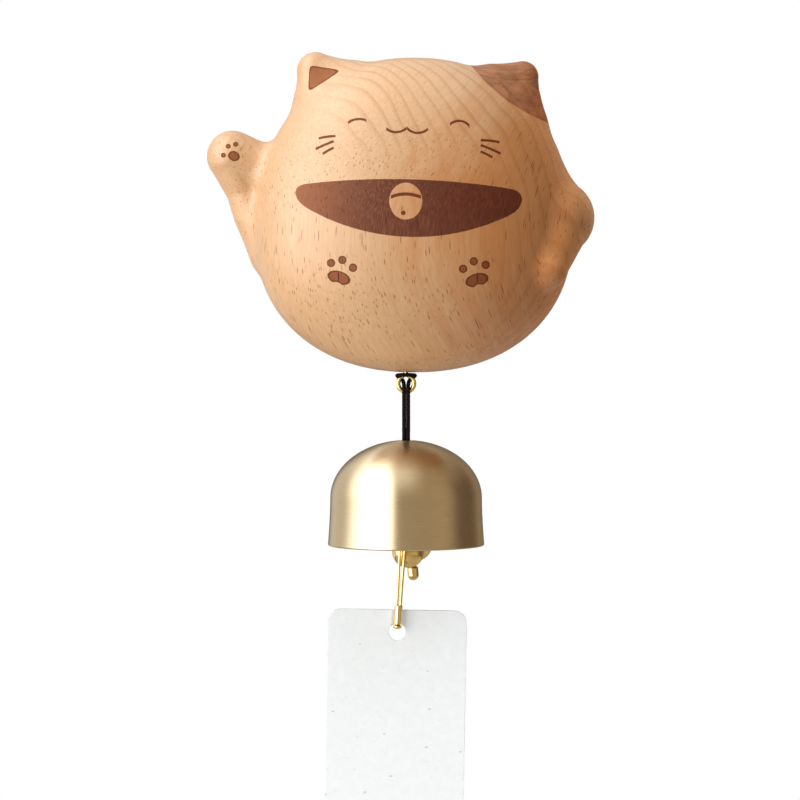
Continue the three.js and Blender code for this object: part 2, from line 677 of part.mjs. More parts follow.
// Card: its hole's top edge rests on the hook's foot
const CARD_HOLE_DROP = CARD_HOLE_R - HOOK_SHANK_R - GAP; // foot to hole centre
const footAt = new THREE.Vector3(0, 0, FOOT_Z).applyEuler(hookGroup.rotation).add(hookGroup.position);
const cardGroup = new THREE.Group();
cardGroup.position.copy(footAt);
cardGroup.rotation.y = degrees(CARD_LEAN);
chime.add(cardGroup);

function cardGeometry() {
  const side = CARD_WIDTH / 2;
  const top = CARD_HOLE_BELOW_TOP;
  const low = top - CARD_LENGTH;
  const r = CARD_CORNER;
  const outline = new THREE.Shape();
  outline.moveTo(-side + r, low);
  outline.lineTo(side - r, low);
  outline.absarc(side - r, low + r, r, -PI / 2, 0);
  outline.lineTo(side, top - r);
  outline.absarc(side - r, top - r, r, 0, PI / 2);
  outline.lineTo(-side + r, top);
  outline.absarc(-side + r, top - r, r, PI / 2, PI);
  outline.lineTo(-side, low + r);
  outline.absarc(-side + r, low + r, r, PI, (3 * PI) / 2);
  outline.holes.push(new THREE.Path().absarc(0, 0, CARD_HOLE_R, 0, 2 * PI, true));
  const flat = new THREE.ExtrudeGeometry(outline, { depth: CARD_T, bevelEnabled: false, curveSegments: 12 });
  return flat.rotateX(PI / 2).translate(0, CARD_FRONT_Y + CARD_T, -CARD_HOLE_DROP);
}
piece('card_tag', cardGeometry(), card, cardGroup);

export default chime;
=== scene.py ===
# %% [markdown]
# # Lucky cat door chime
# A small beech cat sits flat on a door. A doubled black cord hangs from a screw eye under it, and
# carries a spun brass bell, two ball clappers, a brass drop, and a long wire hook with a white
# card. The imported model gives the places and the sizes. This file gives the surfaces: each is a
# formula worked out with numpy, in millimetres, and turned to metres when it becomes a mesh.

# %% Load the frame
import json
import math

import bmesh
import bpy
import numpy as np
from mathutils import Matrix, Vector


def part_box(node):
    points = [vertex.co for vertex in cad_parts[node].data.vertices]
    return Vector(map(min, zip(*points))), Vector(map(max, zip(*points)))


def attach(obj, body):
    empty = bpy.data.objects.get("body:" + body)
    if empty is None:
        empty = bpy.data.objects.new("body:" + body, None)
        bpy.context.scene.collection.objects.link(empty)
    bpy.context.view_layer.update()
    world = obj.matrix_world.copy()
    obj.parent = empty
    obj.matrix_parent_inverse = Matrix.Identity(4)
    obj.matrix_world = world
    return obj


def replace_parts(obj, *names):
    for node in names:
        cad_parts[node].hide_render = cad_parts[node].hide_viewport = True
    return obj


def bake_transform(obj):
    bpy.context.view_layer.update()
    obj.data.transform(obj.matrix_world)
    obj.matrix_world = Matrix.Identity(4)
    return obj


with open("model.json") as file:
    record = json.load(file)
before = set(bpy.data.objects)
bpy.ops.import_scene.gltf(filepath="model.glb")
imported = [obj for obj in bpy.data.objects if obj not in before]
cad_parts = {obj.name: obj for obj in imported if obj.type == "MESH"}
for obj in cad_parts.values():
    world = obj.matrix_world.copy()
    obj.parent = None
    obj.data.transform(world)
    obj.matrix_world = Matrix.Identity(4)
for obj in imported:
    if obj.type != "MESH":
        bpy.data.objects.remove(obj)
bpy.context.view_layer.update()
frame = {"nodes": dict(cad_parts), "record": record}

MM = 0.001
PLAY = 0.3  # mm of room between a wire and what it goes through or round

# %% [markdown]
# ## Places taken from the joints
# The chime is a chain of things that hang on each other, so most places are the centres of its
# joints. Reading them from the frame keeps the pieces here on the axes that they turn about.

# %% Places
JOINTS = {joint["name"]: joint for joint in frame["record"]["behaviour"]["joints"]}


def pivot(name):
    """The centre of a joint, in millimetres."""
    return np.array(JOINTS[name]["pos_m"]) / MM


HANG_Y = pivot("cord_swing")[1]
SWING_Z = pivot("cord_swing")[2]
SWAY_Z = pivot("cord_sway")[2]
LOOP_Z = pivot("clapper_swing")[2]
BAR_Z = pivot("hook_swing")[2]
CROWN_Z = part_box("bell_dome")[1][2] / MM
RIM_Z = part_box("bell_dome")[0][2] / MM
print("cord at y", HANG_Y, "bell from", CROWN_Z, "to", RIM_Z, "bar at", BAR_Z)

# %% [markdown]
# ## Camera
# The picture was taken with a long lens from straight in front, a little above the bell. A long
# lens keeps the chime's verticals upright, so it is tipped down by only two degrees.

# %% Camera
FRAME_WIDTH = 196.0  # mm across the picture, in the plane of the cord
CAMERA_AWAY = 900.0
LENS_AT = np.array([-1.5, HANG_Y - CAMERA_AWAY, -13.0])
AIMED_AT = np.array([-1.5, HANG_Y, -44.1])

camera_data = bpy.data.cameras.new("camera")
camera_data.sensor_width = 36
camera_data.lens = 36 * np.linalg.norm(AIMED_AT - LENS_AT) / FRAME_WIDTH
camera_data.clip_start = 0.01
camera_data.clip_end = 50
camera = bpy.data.objects.new("camera", camera_data)
camera.location = LENS_AT * MM
camera.rotation_euler = Vector(AIMED_AT - LENS_AT).to_track_quat("-Z", "Y").to_euler()
bpy.context.scene.collection.objects.link(camera)
bpy.context.scene.camera = camera
bpy.context.scene.view_settings.view_transform = "Standard"
print("lens", round(camera_data.lens), "mm")

# %% [markdown]
# ## Grids of points
# A tube, a bell, a ball and a card are all rings of points, one after another. `rings_mesh` joins
# them with four-sided faces. An end is closed with a fan of triangles round one point, so no seam
# or pole stays open.


# %% Rings into a mesh
def to_object(name, points, faces, smooth=True):
    """A mesh object from points in mm and lists of corner numbers, with its faces turned outwards."""
    mesh = bpy.data.meshes.new(name)
    mesh.from_pydata((np.asarray(points) * MM).tolist(), [], faces)
    shape = bmesh.new()
    shape.from_mesh(mesh)
    bmesh.ops.recalc_face_normals(shape, faces=shape.faces)
    shape.to_mesh(mesh)
    shape.free()
    mesh.shade_smooth() if smooth else mesh.shade_flat()
    made = bpy.data.objects.new(name, mesh)
    bpy.context.scene.collection.objects.link(made)
    return made


def ring_faces(rings, sides, closed):
    """Corner numbers of the faces between rings: (ring, side), the next side, and both on the next
    ring."""
    ring, side = np.meshgrid(np.arange(rings if closed else rings - 1), np.arange(sides), indexing="ij")
    ahead = (ring + 1) % rings
    beside = (side + 1) % sides
    corners = [ring * sides + side, ring * sides + beside, ahead * sides + beside, ahead * sides + side]
    return np.stack(corners, -1).reshape(-1, 4)


def rings_mesh(name, rings, closed=False, poles=(None, None)):
    """Joins rings of points, shaped (rings, sides, 3). A pole is a point that closes the first or
    last ring."""
    count, sides = rings.shape[:2]
    points = rings.reshape(-1, 3)
    faces = ring_faces(count, sides, closed).tolist()
    if not closed:
        for first, pole in zip((0, (count - 1) * sides), poles):
            top = rings[0 if first == 0 else -1].mean(0) if pole is None else np.asarray(pole, float)
            around = first + np.arange(sides)
            fan = np.stack([around, np.roll(around, -1), np.full(sides, len(points))], -1)
            points = np.vstack([points, top])
            faces += fan.tolist()
    return to_object(name, points, faces)


# %% [markdown]
# ## Turned pieces
# A lathe profile is a line of (radius, height) points. Each is carried once round the axis.


# %% Lathe
def lathe(name, profile, centre, sides=128, closed=False):
    """Each (r, z) of the profile goes to (r cos a, r sin a, z) for the angles a of one turn, round
    centre."""
    r, z = np.asarray(profile, float).T
    angle = np.linspace(0, 2 * np.pi, sides, endpoint=False)
    rings = np.stack(
        [np.outer(r, np.cos(angle)), np.outer(r, np.sin(angle)), np.repeat(z[:, None], sides, 1)], -1
    )
    rings += np.asarray(centre, float)
    ends = [np.array([0, 0, height]) + centre for height in (z[0], z[-1])]
    return rings_mesh(name, rings, closed, ends)


def arc(centre, radius, start, end, count):
    """Points of a circle's arc in a plane: centre + radius (cos a, sin a), for a from start to end
    in degrees."""
    angle = np.radians(np.linspace(start, end, count))
    return np.asarray(centre, float) + radius * np.stack([np.cos(angle), np.sin(angle)], -1)


# %% [markdown]
# ## Wires and cords
# A wire is a circle carried along a curved path. The circle must not spin on the way, so each step
# turns the last direction only as far as the path itself turns.


# %% Sweep
END_ANGLES = np.radians([15, 40, 65, 90])  # where the rings of a rod's half-ball ends stand


def smooth_path(points, spacing, closed=False):
    """A Catmull-Rom curve through the points, with its speed at each set by the chords on both
    sides of it, then cut into even steps of the given spacing in mm."""
    points = np.asarray(points, float)
    if closed:
        before, after = points[-1:], points[:2]
    else:
        before = 2 * points[:1] - points[1:2]
        after = 2 * points[-1:] - points[-2:-1]
    knots = np.vstack([before, points, after])
    chords = np.sqrt(np.linalg.norm(np.diff(knots, axis=0), axis=1))[:, None]
    slopes = np.diff(knots, axis=0) / chords
    speed = (slopes[:-1] * chords[1:] + slopes[1:] * chords[:-1]) / (chords[:-1] + chords[1:])
    span = chords[1:-1]
    t = np.linspace(0, 1, 24, endpoint=False)[:, None, None]
    first, last = knots[1:-2], knots[2:-1]
    fine = (
        (2 * t**3 - 3 * t**2 + 1) * first
        + (t**3 - 2 * t**2 + t) * span * speed[:-1]
        + (3 * t**2 - 2 * t**3) * last
        + (t**3 - t**2) * span * speed[1:]
    )
    fine = fine.transpose(1, 0, 2).reshape(-1, 3)
    fine = np.vstack([fine, points[:1] if closed else points[-1:]])
    travelled = np.concatenate([[0], np.cumsum(np.linalg.norm(np.diff(fine, axis=0), axis=1))])
    steps = max(int(round(travelled[-1] / spacing)), 3)
    even = np.linspace(0, travelled[-1], steps + 1)[: steps if closed else steps + 1]
    return np.stack([np.interp(even, travelled, axis) for axis in fine.T], -1)


def carried_normals(path, closed):
    """Unit tangents, and a sideways direction that turns only as the path does. On a closed path
    the twist that is left at the end is spread over the whole length."""
    tangents = np.roll(path, -1, 0) - np.roll(path, 1, 0) if closed else np.gradient(path, axis=0)
    tangents /= np.linalg.norm(tangents, axis=1)[:, None]
    side = np.cross(tangents[0], np.eye(3)[np.argmin(np.abs(tangents[0]))])
    sides = []
    for tangent in tangents:
        side = side - tangent * (side @ tangent)
        side = side / np.linalg.norm(side)
        sides.append(side)
    sides = np.array(sides)
    if closed:
        home = sides[-1] - tangents[0] * (sides[-1] @ tangents[0])
        twist = math.atan2(np.cross(home, sides[0]) @ tangents[0], home @ sides[0])
        turn = (np.arange(len(path)) / len(path) * twist)[:, None]
        sides = sides * np.cos(turn) + np.cross(tangents, sides) * np.sin(turn)
    return tangents, sides


def sweep(name, path, radius, sides=24, closed=False):
    """A round rod along a path, with ends closed by half balls. Its UV map has mm along the path in
    U, and the turn, 0 to 1, in V."""
    path = np.asarray(path, float)
    tangents, across = carried_normals(path, closed)
    radii = np.full(len(path), float(radius))
    if not closed:
        start = path[0] - tangents[0] * radius * np.cos(END_ANGLES)[:, None]
        end = path[-1] + tangents[-1] * radius * np.cos(END_ANGLES[::-1])[:, None]
        end_radii = radius * np.sin(END_ANGLES)
        path = np.vstack([start, path[1:-1], end])
        radii = np.concatenate([end_radii, radii[1:-1], end_radii[::-1]])
        repeats = [len(END_ANGLES)] + [1] * (len(tangents) - 2) + [len(END_ANGLES)]
        tangents = np.repeat(tangents, repeats, axis=0)
        across = np.repeat(across, repeats, axis=0)
    up = np.cross(tangents, across)
    angle = np.linspace(0, 2 * np.pi, sides, endpoint=False)[None, :, None]
    spokes = np.cos(angle) * across[:, None] + np.sin(angle) * up[:, None]
    rings = path[:, None] + radii[:, None, None] * spokes
    tips = (path[0] - tangents[0] * radius * 0.04, path[-1] + tangents[-1] * radius * 0.04)
    rod = rings_mesh(name, rings, closed, tips)
    travelled = np.concatenate([[0], np.cumsum(np.linalg.norm(np.diff(path, axis=0), axis=1))])
    along = np.concatenate([np.repeat(travelled, sides), travelled[[0, -1]]])
    turned = np.concatenate([np.tile(np.arange(sides) / sides, len(path)), [0, 0]])
    corner = np.zeros(len(rod.data.loops), dtype=np.int32)
    rod.data.loops.foreach_get("vertex_index", corner)
    layer = rod.data.uv_layers.new(name="length_and_turn")
    layer.data.foreach_set("uv", np.stack([along, turned], -1)[corner].ravel())
    return rod


# %% [markdown]
# ## Cord
# One waxed cotton cord, 1 mm thick, is doubled over the screw eye. Both strands run side by side
# through the bell's crown. Under it a knot holds the bell, and below the knot the cord comes round
# in a small loop. It is made first, as one line from the top of the left strand, round the loop and
# back up the right one.

# %% Cord
CORD_R = 0.5
STRAND_X = 0.505
LOOP_R = 1.9
KNOT_BOX = [corner / MM for corner in map(np.array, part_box("crown_knot"))]

left_strand = [
    [-STRAND_X, SWING_Z],
    [-STRAND_X, SWING_Z - 3],
    [-STRAND_X, SWAY_Z],
    [-STRAND_X, SWAY_Z - 3],
    [-STRAND_X, CROWN_Z],
    [-STRAND_X - 0.1, CROWN_Z - 1],
    [-STRAND_X - 0.6, CROWN_Z - 2.2],
    [-LOOP_R + 0.15, CROWN_Z - 3.2],
]
loop_bottom = arc((0, LOOP_Z + LOOP_R), LOOP_R, 180, 360, 7).tolist()
right_strand = [[-x, z] for x, z in reversed(left_strand)]
cord_line = np.array([[x, HANG_Y, z] for x, z in left_strand + loop_bottom + right_strand])
cord_path = smooth_path(cord_line, 0.15)
cord = sweep("suspension_cord", cord_path, CORD_R, 20)
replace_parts(cord, "cord_upper", "cord_lower", "clapper_loop")
print("cord", round(float(np.linalg.norm(np.diff(cord_path, axis=0), axis=1).sum()), 1), "mm long")

# %% [markdown]
# The hitch is the top of the same cord: a bar across the front of the eye, round both sides to the
# back, forward through the ring and down. It stays with the cat when the chime swings, so it is a
# piece of its own.

# %% Hitch and knot
EYE_BOX = [corner / MM for corner in map(np.array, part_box("screw_eye"))]
EYE_WIRE_R = 0.55
EYE_RING_R = 1.95
EYE_Y = float(EYE_BOX[0][1] + EYE_BOX[1][1]) / 2
RING_Z = EYE_BOX[0][2] + EYE_WIRE_R + EYE_RING_R
RING_TOP_Z = RING_Z + EYE_RING_R
BEHIND_Y = EYE_Y + EYE_WIRE_R + PLAY + CORD_R

right_half = [
    [0, HANG_Y, RING_TOP_Z + 0.2],
    [1.2, HANG_Y, RING_TOP_Z + 0.2],
    [2.0, HANG_Y + 0.55, RING_TOP_Z + 0.1],
    [2.15, EYE_Y + 0.4, RING_TOP_Z - 0.05],
    [1.6, BEHIND_Y, RING_TOP_Z - 0.6],
    [0.85, BEHIND_Y - 0.35, RING_Z + 0.75],
    [STRAND_X + 0.05, EYE_Y, RING_Z - 0.1],
    [STRAND_X, HANG_Y + 0.25, RING_Z - 0.95],
    [STRAND_X, HANG_Y, RING_Z - 1.6],
    [STRAND_X, HANG_Y, SWING_Z],
]
left_half = [[-x, y, z] for x, y, z in reversed(right_half[1:])]
hitch = sweep("cord_hitch_round", smooth_path(left_half + right_half, 0.15), CORD_R, 20)
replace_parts(hitch, "cord_hitch")
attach(hitch, "cat")


def overhand(count):
    """The line of an overhand knot, (sin t + 2 sin 2t, cos t - 2 cos 2t, -sin 3t), drawn in to fit
    its bead."""
    t = np.linspace(0, 2 * np.pi, count, endpoint=False)
    line = np.stack([np.sin(t) + 2 * np.sin(2 * t), np.cos(t) - 2 * np.cos(2 * t), -np.sin(3 * t)], -1)
    low, high = KNOT_BOX
    room = (high - low) / 2 - CORD_R * 0.9
    return (low + high) / 2 + line / np.abs(line).max(0) * room


knot = sweep("overhand_knot", overhand(160), CORD_R * 0.9, 16, closed=True)
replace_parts(knot, "crown_knot")
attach(knot, "cord_low")

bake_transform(cord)
for piece in (cord, hitch, knot):
    print(piece.name, len(piece.data.polygons), "faces")

# %% [markdown]
# ## Cat
# The cat is one piece of beech, turned and then carved. A grid of rings can't hold an egg with ears
# and arms, so its surface is where a field is zero. The field is about the distance to the wood, in
# mm: less than 0 inside. The egg is a superellipsoid, and each limb is a chain of tapered rods. A
# smooth minimum joins them with a soft blend, as sandpaper leaves it.

# %% Field of the cat
EGG_MIDDLE = np.array([1.9, 20.0, -3.0])  # right of the cord, out from the door, up
EGG_HALF_WIDTH = 39.0
EGG_UP, EGG_DOWN = 42.7, 34.4
EGG_FRONT, EGG_BACK = 24.0, 26.0
EGG_POWER = 2.2
BACK_AT = 1.0  # the felt pad's thickness
BACK_EDGE_BLEND = 3.0
EAR_BLEND, RAISED_ARM_BLEND, RESTING_ARM_BLEND = 5.0, 3.5, 2.4


def limb_joint(across, depth, up, radius):
    """A limb's point and radius; across and up are shares of the egg's half sizes from its middle."""
    x = EGG_MIDDLE[0] + across * EGG_HALF_WIDTH
    z = EGG_MIDDLE[2] + up * (EGG_UP if up > 0 else EGG_DOWN)
    return np.array([x, EGG_MIDDLE[1] + depth, z]), radius


LEFT_EAR = [
    limb_joint(-0.433, 0, 0.632, 11),
    limb_joint(-0.592, -0.5, 0.785, 5.8),
    limb_joint(-0.618, -1, 0.927, 4.6),
    limb_joint(-0.446, -0.5, 0.857, 5.4),
]
RIGHT_EAR = [
    limb_joint(0.49, 0, 0.597, 11.5),
    limb_joint(0.669, -0.5, 0.656, 5.5),
    limb_joint(0.662, -0.5, 0.773, 5.2),
    limb_joint(0.685, -1, 0.892, 3.9),
    limb_joint(0.528, -0.5, 0.843, 5.2),
]
RAISED_ARM = [
    limb_joint(-0.895, -2, 0.328, 6.5),
    limb_joint(-1.1415, -1, 0.436, 6.3),
    limb_joint(-1.064, -1.5, 0.234, 4.6),
    limb_joint(-1.028, -1.5, 0.094, 4.2),
    limb_joint(-0.933, -2, -0.16, 3.8),
]
RESTING_ARM = [
    limb_joint(0.797, -1, 0.222, 8),
    limb_joint(0.892, 3.5, 0.082, 9.35),
    limb_joint(0.841, 12, -0.262, 4.5),
]
LIMBS = [
    (EAR_BLEND, LEFT_EAR),
    (EAR_BLEND, RIGHT_EAR),
    (RAISED_ARM_BLEND, RAISED_ARM),
    (RESTING_ARM_BLEND, RESTING_ARM),
]


def smooth_min(a, b, blend):
    """The smaller of a and b, less h squared times blend / 4, where h is 1 when they are equal and
    0 when they differ by blend."""
    h = np.maximum(blend - np.abs(a - b), 0) / blend
    return np.minimum(a, b) - h * h * blend / 4


def egg(p):
    """(g - 1) / |slope of g|, where g is the p-norm of the offsets divided by the egg's half sizes."""
    offset = p - EGG_MIDDLE
    half = np.stack(
        [
            np.full(offset.shape[:-1], EGG_HALF_WIDTH),
            np.where(offset[..., 1] > 0, EGG_FRONT, EGG_BACK),
            np.where(offset[..., 2] > 0, EGG_UP, EGG_DOWN),
        ],
        -1,
    )
    share = np.abs(offset) / half
    g = np.maximum((share**EGG_POWER).sum(-1), 1e-9) ** (1 / EGG_POWER)
    slope = share ** (EGG_POWER - 1) / half * g[..., None] ** (1 - EGG_POWER)
    return (g - 1) / np.maximum(np.linalg.norm(slope, axis=-1), 1e-6)


def rod(p, start, end):
    """The distance to the nearest point of a rod, less its radius there."""
    (a, ra), (b, rb) = start, end
    along = b - a
    t = np.clip(((p - a) @ along) / (along @ along), 0, 1)
    return np.linalg.norm(p - a - t[..., None] * along, axis=-1) - (ra + (rb - ra) * t)


def cat_field(p):
    """The egg and its limbs, then cut flat at the back with a rounded edge. Points are x, depth, z."""
    field = egg(p)
    for blend, joints in LIMBS:
        limb = np.min([rod(p, a, b) for a, b in zip(joints[:-1], joints[1:])], axis=0)
        field = smooth_min(field, limb, blend)
    return -smooth_min(-field, -(BACK_AT - p[..., 1]), BACK_EDGE_BLEND)


# %% [markdown]
# ## Surface of the field
# A grid of small cells covers the cat. Each cell that the surface passes through gives one corner,
# and each grid line that crosses it gives one face between four of them. The corners then slide
# along the surface until they are even, which takes the grid's steps away. All of it is done on
# whole arrays.


# %% Surface from the field
def surface_cells(field, low, high, cell):
    """One corner for each crossed cell, and one face for each crossed grid line."""
    counts = np.ceil((np.asarray(high) - low) / cell).astype(int)
    corners = np.stack(np.meshgrid(*[np.arange(n) for n in counts], indexing="ij"), -1)
    inside = np.stack([field(low + slab * cell) < 0 for slab in corners])
    held = inside.astype(int)
    for axis in range(3):
        held = np.take(held, range(counts[axis] - 1), axis) + np.take(held, range(1, counts[axis]), axis)
    crossed = (held > 0) & (held < 8)
    number = np.full(crossed.shape, -1)
    number[crossed] = np.arange(crossed.sum())
    points = low + (np.argwhere(crossed) + 0.5) * cell
    faces = []
    for axis in range(3):
        ahead = np.roll(inside, -1, axis)
        at = np.argwhere(inside != ahead)
        at = at[(at > 0).all(1) & (at < counts - 1).all(1)]
        first, second = np.roll(np.eye(3, dtype=int), -1 - axis, 0)[:2]
        around = [at, at - first, at - first - second, at - second]
        faces.append(np.stack([number[tuple(c.T)] for c in around], -1))
    return points, np.vstack(faces)


def onto_surface(points, field, step=0.01):
    """Moves each point down the field's slope by its distance, so that it lands on the surface."""
    here = field(points)
    slope = np.stack([(field(points + step * unit) - here) / step for unit in np.eye(3)], -1)
    return points - (here / np.maximum((slope**2).sum(-1), 0.01))[:, None] * slope


def evened(points, faces, field, rounds):
    """Each round takes every corner halfway to the middle of those beside it, and back onto the
    surface."""
    pairs = np.vstack([faces[:, [0, 1]], faces[:, [1, 2]], faces[:, [2, 3]], faces[:, [3, 0]]])
    beside = np.bincount(pairs.ravel(), minlength=len(points))[:, None]
    for _ in range(rounds):
        sums = np.stack(
            [
                np.bincount(pairs[:, 0], points[pairs[:, 1], axis], len(points))
                + np.bincount(pairs[:, 1], points[pairs[:, 0], axis], len(points))
                for axis in range(3)
            ],
            -1,
        )
        points = onto_surface((points + sums / beside) / 2, field)
    return onto_surface(points, field)


BODY_CELL = 0.62  # mm
EVENING_ROUNDS = 6
CAT_LOW = np.array([-53.0, -3.0, -41.0])
CAT_HIGH = np.array([50.0, 47.0, 45.0])
cat_points, cat_faces = surface_cells(cat_field, CAT_LOW, CAT_HIGH, BODY_CELL)
cat_points = evened(cat_points, cat_faces, cat_field, EVENING_ROUNDS)
cat = to_object("beech_cat", cat_points * [1, -1, 1], cat_faces.tolist())
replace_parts(cat, "cat_body")
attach(cat, "cat")
print("cat", len(cat_faces), "faces")

# %% [markdown]
# ## Felt pad
# The pad behind the cat follows the egg's outline. It is a superellipse with a slightly rounded
# edge.

# %% Pad
PAD_BOX = [corner / MM for corner in map(np.array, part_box("back_pad"))]
# Rings from the door's side to the wood's: the share of the outline, and y in mm
PAD_EDGE = [(0.5, 0), (0.985, 0), (0.996, -0.06), (1, -0.2), (1, -0.8), (0.996, -0.94), (0.985, -1)]


def pad_rings(count):
    """The outline (cos a, sin a), each raised to 2 / power with its sign, drawn in at the edges of
    both faces."""
    angle = np.linspace(0, 2 * np.pi, count, endpoint=False)
    low, high = PAD_BOX
    across = np.sign(np.cos(angle)) * np.abs(np.cos(angle)) ** (2 / EGG_POWER)
    up = np.sign(np.sin(angle)) * np.abs(np.sin(angle)) ** (2 / EGG_POWER)
    above, below = high[2] - EGG_MIDDLE[2], EGG_MIDDLE[2] - low[2]
    outline = np.stack([across * (high[0] - low[0]) / 2, np.where(up > 0, above, below) * up], -1)
    rings = []
    for drawn_in, y in PAD_EDGE:
        x, z = (outline * drawn_in).T
        rings.append(np.stack([x + EGG_MIDDLE[0], np.full(count, float(y)), z + EGG_MIDDLE[2]], -1))
    return np.array(rings)


pad = rings_mesh("felt_pad", pad_rings(180))
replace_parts(pad, "back_pad")
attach(pad, "cat")
print("pad", [round(float(v), 1) for v in PAD_BOX[1] - PAD_BOX[0]], "mm")

# %% [markdown]
# ## Screw eye
# The eye is bent from one brass wire. The end of the wire comes round the ring to its own shank,
# and the shank is screwed into the wood.

# %% Screw eye
EYE_TOP_Z = EYE_BOX[1][2]
ring_line = arc((0, RING_Z), EYE_RING_R, 66, -236, 26).tolist()
neck_line = [[-0.75, RING_Z + 1.98], [-0.12, RING_Z + 2.5], [0, RING_Z + 3.4], [0, EYE_TOP_Z]]
eye_line = [[x, EYE_Y, z] for x, z in ring_line + neck_line]
eye = sweep("brass_screw_eye", smooth_path(eye_line, 0.12), EYE_WIRE_R, 28)
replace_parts(eye, "screw_eye")
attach(eye, "cat")
print("eye", round(2 * (EYE_RING_R + EYE_WIRE_R), 1), "mm across")

# %% [markdown]
# ## Bell
# The bell is spun from brass sheet: a dome, a shoulder and a skirt that flares a little. The
# profile goes down the outside, round the rim and up the inside, and closes in the hole at the
# crown.

# %% Bell
BELL_RIM_R, BELL_SHOULDER_R = 19.2, 18.6
DOME_HEIGHT = 14.2
BELL_WALL = 1.2
CROWN_HOLE_R = 1.7
RIM_OUT_R, RIM_IN_R = 0.45, 0.35  # how the rim's two edges are rounded
BELL_HEIGHT = CROWN_Z - RIM_Z


def dome_line(radius, height, top, count):
    """A quarter of an ellipse from the crown hole down to the shoulder: (r sin a, top - h (1 - cos
    a))."""
    start = math.asin(CROWN_HOLE_R / radius)
    angle = np.linspace(start, np.pi / 2, count)
    return np.stack([radius * np.sin(angle), top - height * (1 - np.cos(angle))], -1)


outside = dome_line(BELL_SHOULDER_R, DOME_HEIGHT, 0, 60)
inside = dome_line(BELL_SHOULDER_R - BELL_WALL, DOME_HEIGHT - BELL_WALL, -BELL_WALL, 40)[::-1]
skirt_z = np.linspace(-DOME_HEIGHT, -BELL_HEIGHT + RIM_OUT_R, 24)[1:]
flare = ((-DOME_HEIGHT - skirt_z) / (BELL_HEIGHT - DOME_HEIGHT)) ** 1.6
skirt = np.stack([BELL_SHOULDER_R + (BELL_RIM_R - BELL_SHOULDER_R) * flare, skirt_z], -1)
rim = np.vstack(
    [
        arc((BELL_RIM_R - RIM_OUT_R, RIM_OUT_R - BELL_HEIGHT), RIM_OUT_R, -15, -90, 6),
        arc((BELL_RIM_R - BELL_WALL + RIM_IN_R, RIM_IN_R - BELL_HEIGHT), RIM_IN_R, -90, -165, 6),
    ]
)
bell_profile = np.vstack([outside, skirt, rim, inside])
bell = lathe("spun_brass_bell", bell_profile, (0, HANG_Y, CROWN_Z), 256, closed=True)
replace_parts(bell, "bell_dome")
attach(bell, "bell")
print("bell", round(2 * BELL_RIM_R), "mm across,", round(BELL_HEIGHT, 1), "mm high")

# %% [markdown]
# ## Hanger
# A brass wire ring hangs in the cord's loop. It narrows at the top, and its straight bar carries
# everything that swings inside and below the bell.

# %% Hanger
HANGER_WIRE_R = 0.5
APEX_R = CORD_R + PLAY + HANGER_WIRE_R
BAR_FRONT, BAR_BACK, HANGER_SIDE = 5.6, 6.8, 2.8
SLOPE_TOP = LOOP_Z - BAR_Z
hanger_line = [
    [-BAR_FRONT * 0.5, 0],
    [0, 0],
    [BAR_BACK * 0.5, 0],
    [BAR_BACK - 1, 0],
    [BAR_BACK - 0.1, 0.35],
    [BAR_BACK + 0.3, 1.2],
    [BAR_BACK + 0.1, HANGER_SIDE],
    [BAR_BACK * 0.55, SLOPE_TOP - 1.4],
    [APEX_R * 1.05, SLOPE_TOP - 0.2],
    [APEX_R * 0.8, SLOPE_TOP + APEX_R * 0.75],
    [0, SLOPE_TOP + APEX_R + 0.05],
    [-APEX_R * 0.8, SLOPE_TOP + APEX_R * 0.75],
    [-APEX_R * 1.05, SLOPE_TOP - 0.2],
    [-BAR_FRONT * 0.55, SLOPE_TOP - 1.4],
    [-BAR_FRONT - 0.1, HANGER_SIDE],
    [-BAR_FRONT - 0.3, 1.2],
    [-BAR_FRONT + 0.1, 0.35],
    [-BAR_FRONT + 1, 0],
]
hanger_points = [[0, HANG_Y + y, BAR_Z + z] for y, z in hanger_line]
hanger = sweep("wire_hanger", smooth_path(hanger_points, 0.15, closed=True), HANGER_WIRE_R, 20, closed=True)
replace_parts(hanger, "clapper_hanger")
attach(hanger, "hanger")
print("hanger", round(BAR_FRONT + BAR_BACK + 2 * HANGER_WIRE_R, 1), "mm deep")

# %% [markdown]
# ## What swings on the bar
# Each of these is worked out hanging straight down from the middle of its eye. It is then leaned to
# where the photograph caught it, and moved to its own stretch of the bar, so that none strikes its
# neighbour.


# %% Leaning
def hung(points, y, lean, back=0.0):
    """Points turned back about X, then by lean about Y, in degrees, and moved to the bar at y."""
    b, a = math.radians(back), math.radians(lean)
    about_x = np.array([[1, 0, 0], [0, math.cos(b), -math.sin(b)], [0, math.sin(b), math.cos(b)]])
    about_y = np.array([[math.cos(a), 0, math.sin(a)], [0, 1, 0], [-math.sin(a), 0, math.cos(a)]])
    return np.asarray(points, float) @ (about_y @ about_x).T + np.array([0, HANG_Y + y, BAR_Z])


def hang_mesh(piece, y, lean, back=0.0):
    """The same for a finished mesh, in place."""
    flat = np.zeros(len(piece.data.vertices) * 3)
    piece.data.vertices.foreach_get("co", flat)
    placed = hung(flat.reshape(-1, 3) / MM, y, lean, back) * MM
    piece.data.vertices.foreach_set("co", placed.ravel())
    piece.data.update()
    return piece


def joined(name, *parts):
    """The parts as one object."""
    whole = bmesh.new()
    for part in parts:
        whole.from_mesh(part.data)
    mesh = bpy.data.meshes.new(name)
    whole.to_mesh(mesh)
    whole.free()
    mesh.shade_smooth()
    made = bpy.data.objects.new(name, mesh)
    bpy.context.scene.collection.objects.link(made)
    for part in parts:
        bpy.data.objects.remove(part)
    return made


# %% [markdown]
# ## Ball clappers and drop
# A ball clapper is a turned brass bead on an eye pin. The eye is a ring of thin wire round the bar.
# The drop is a small bullet on a longer wire, which hangs between the two balls.

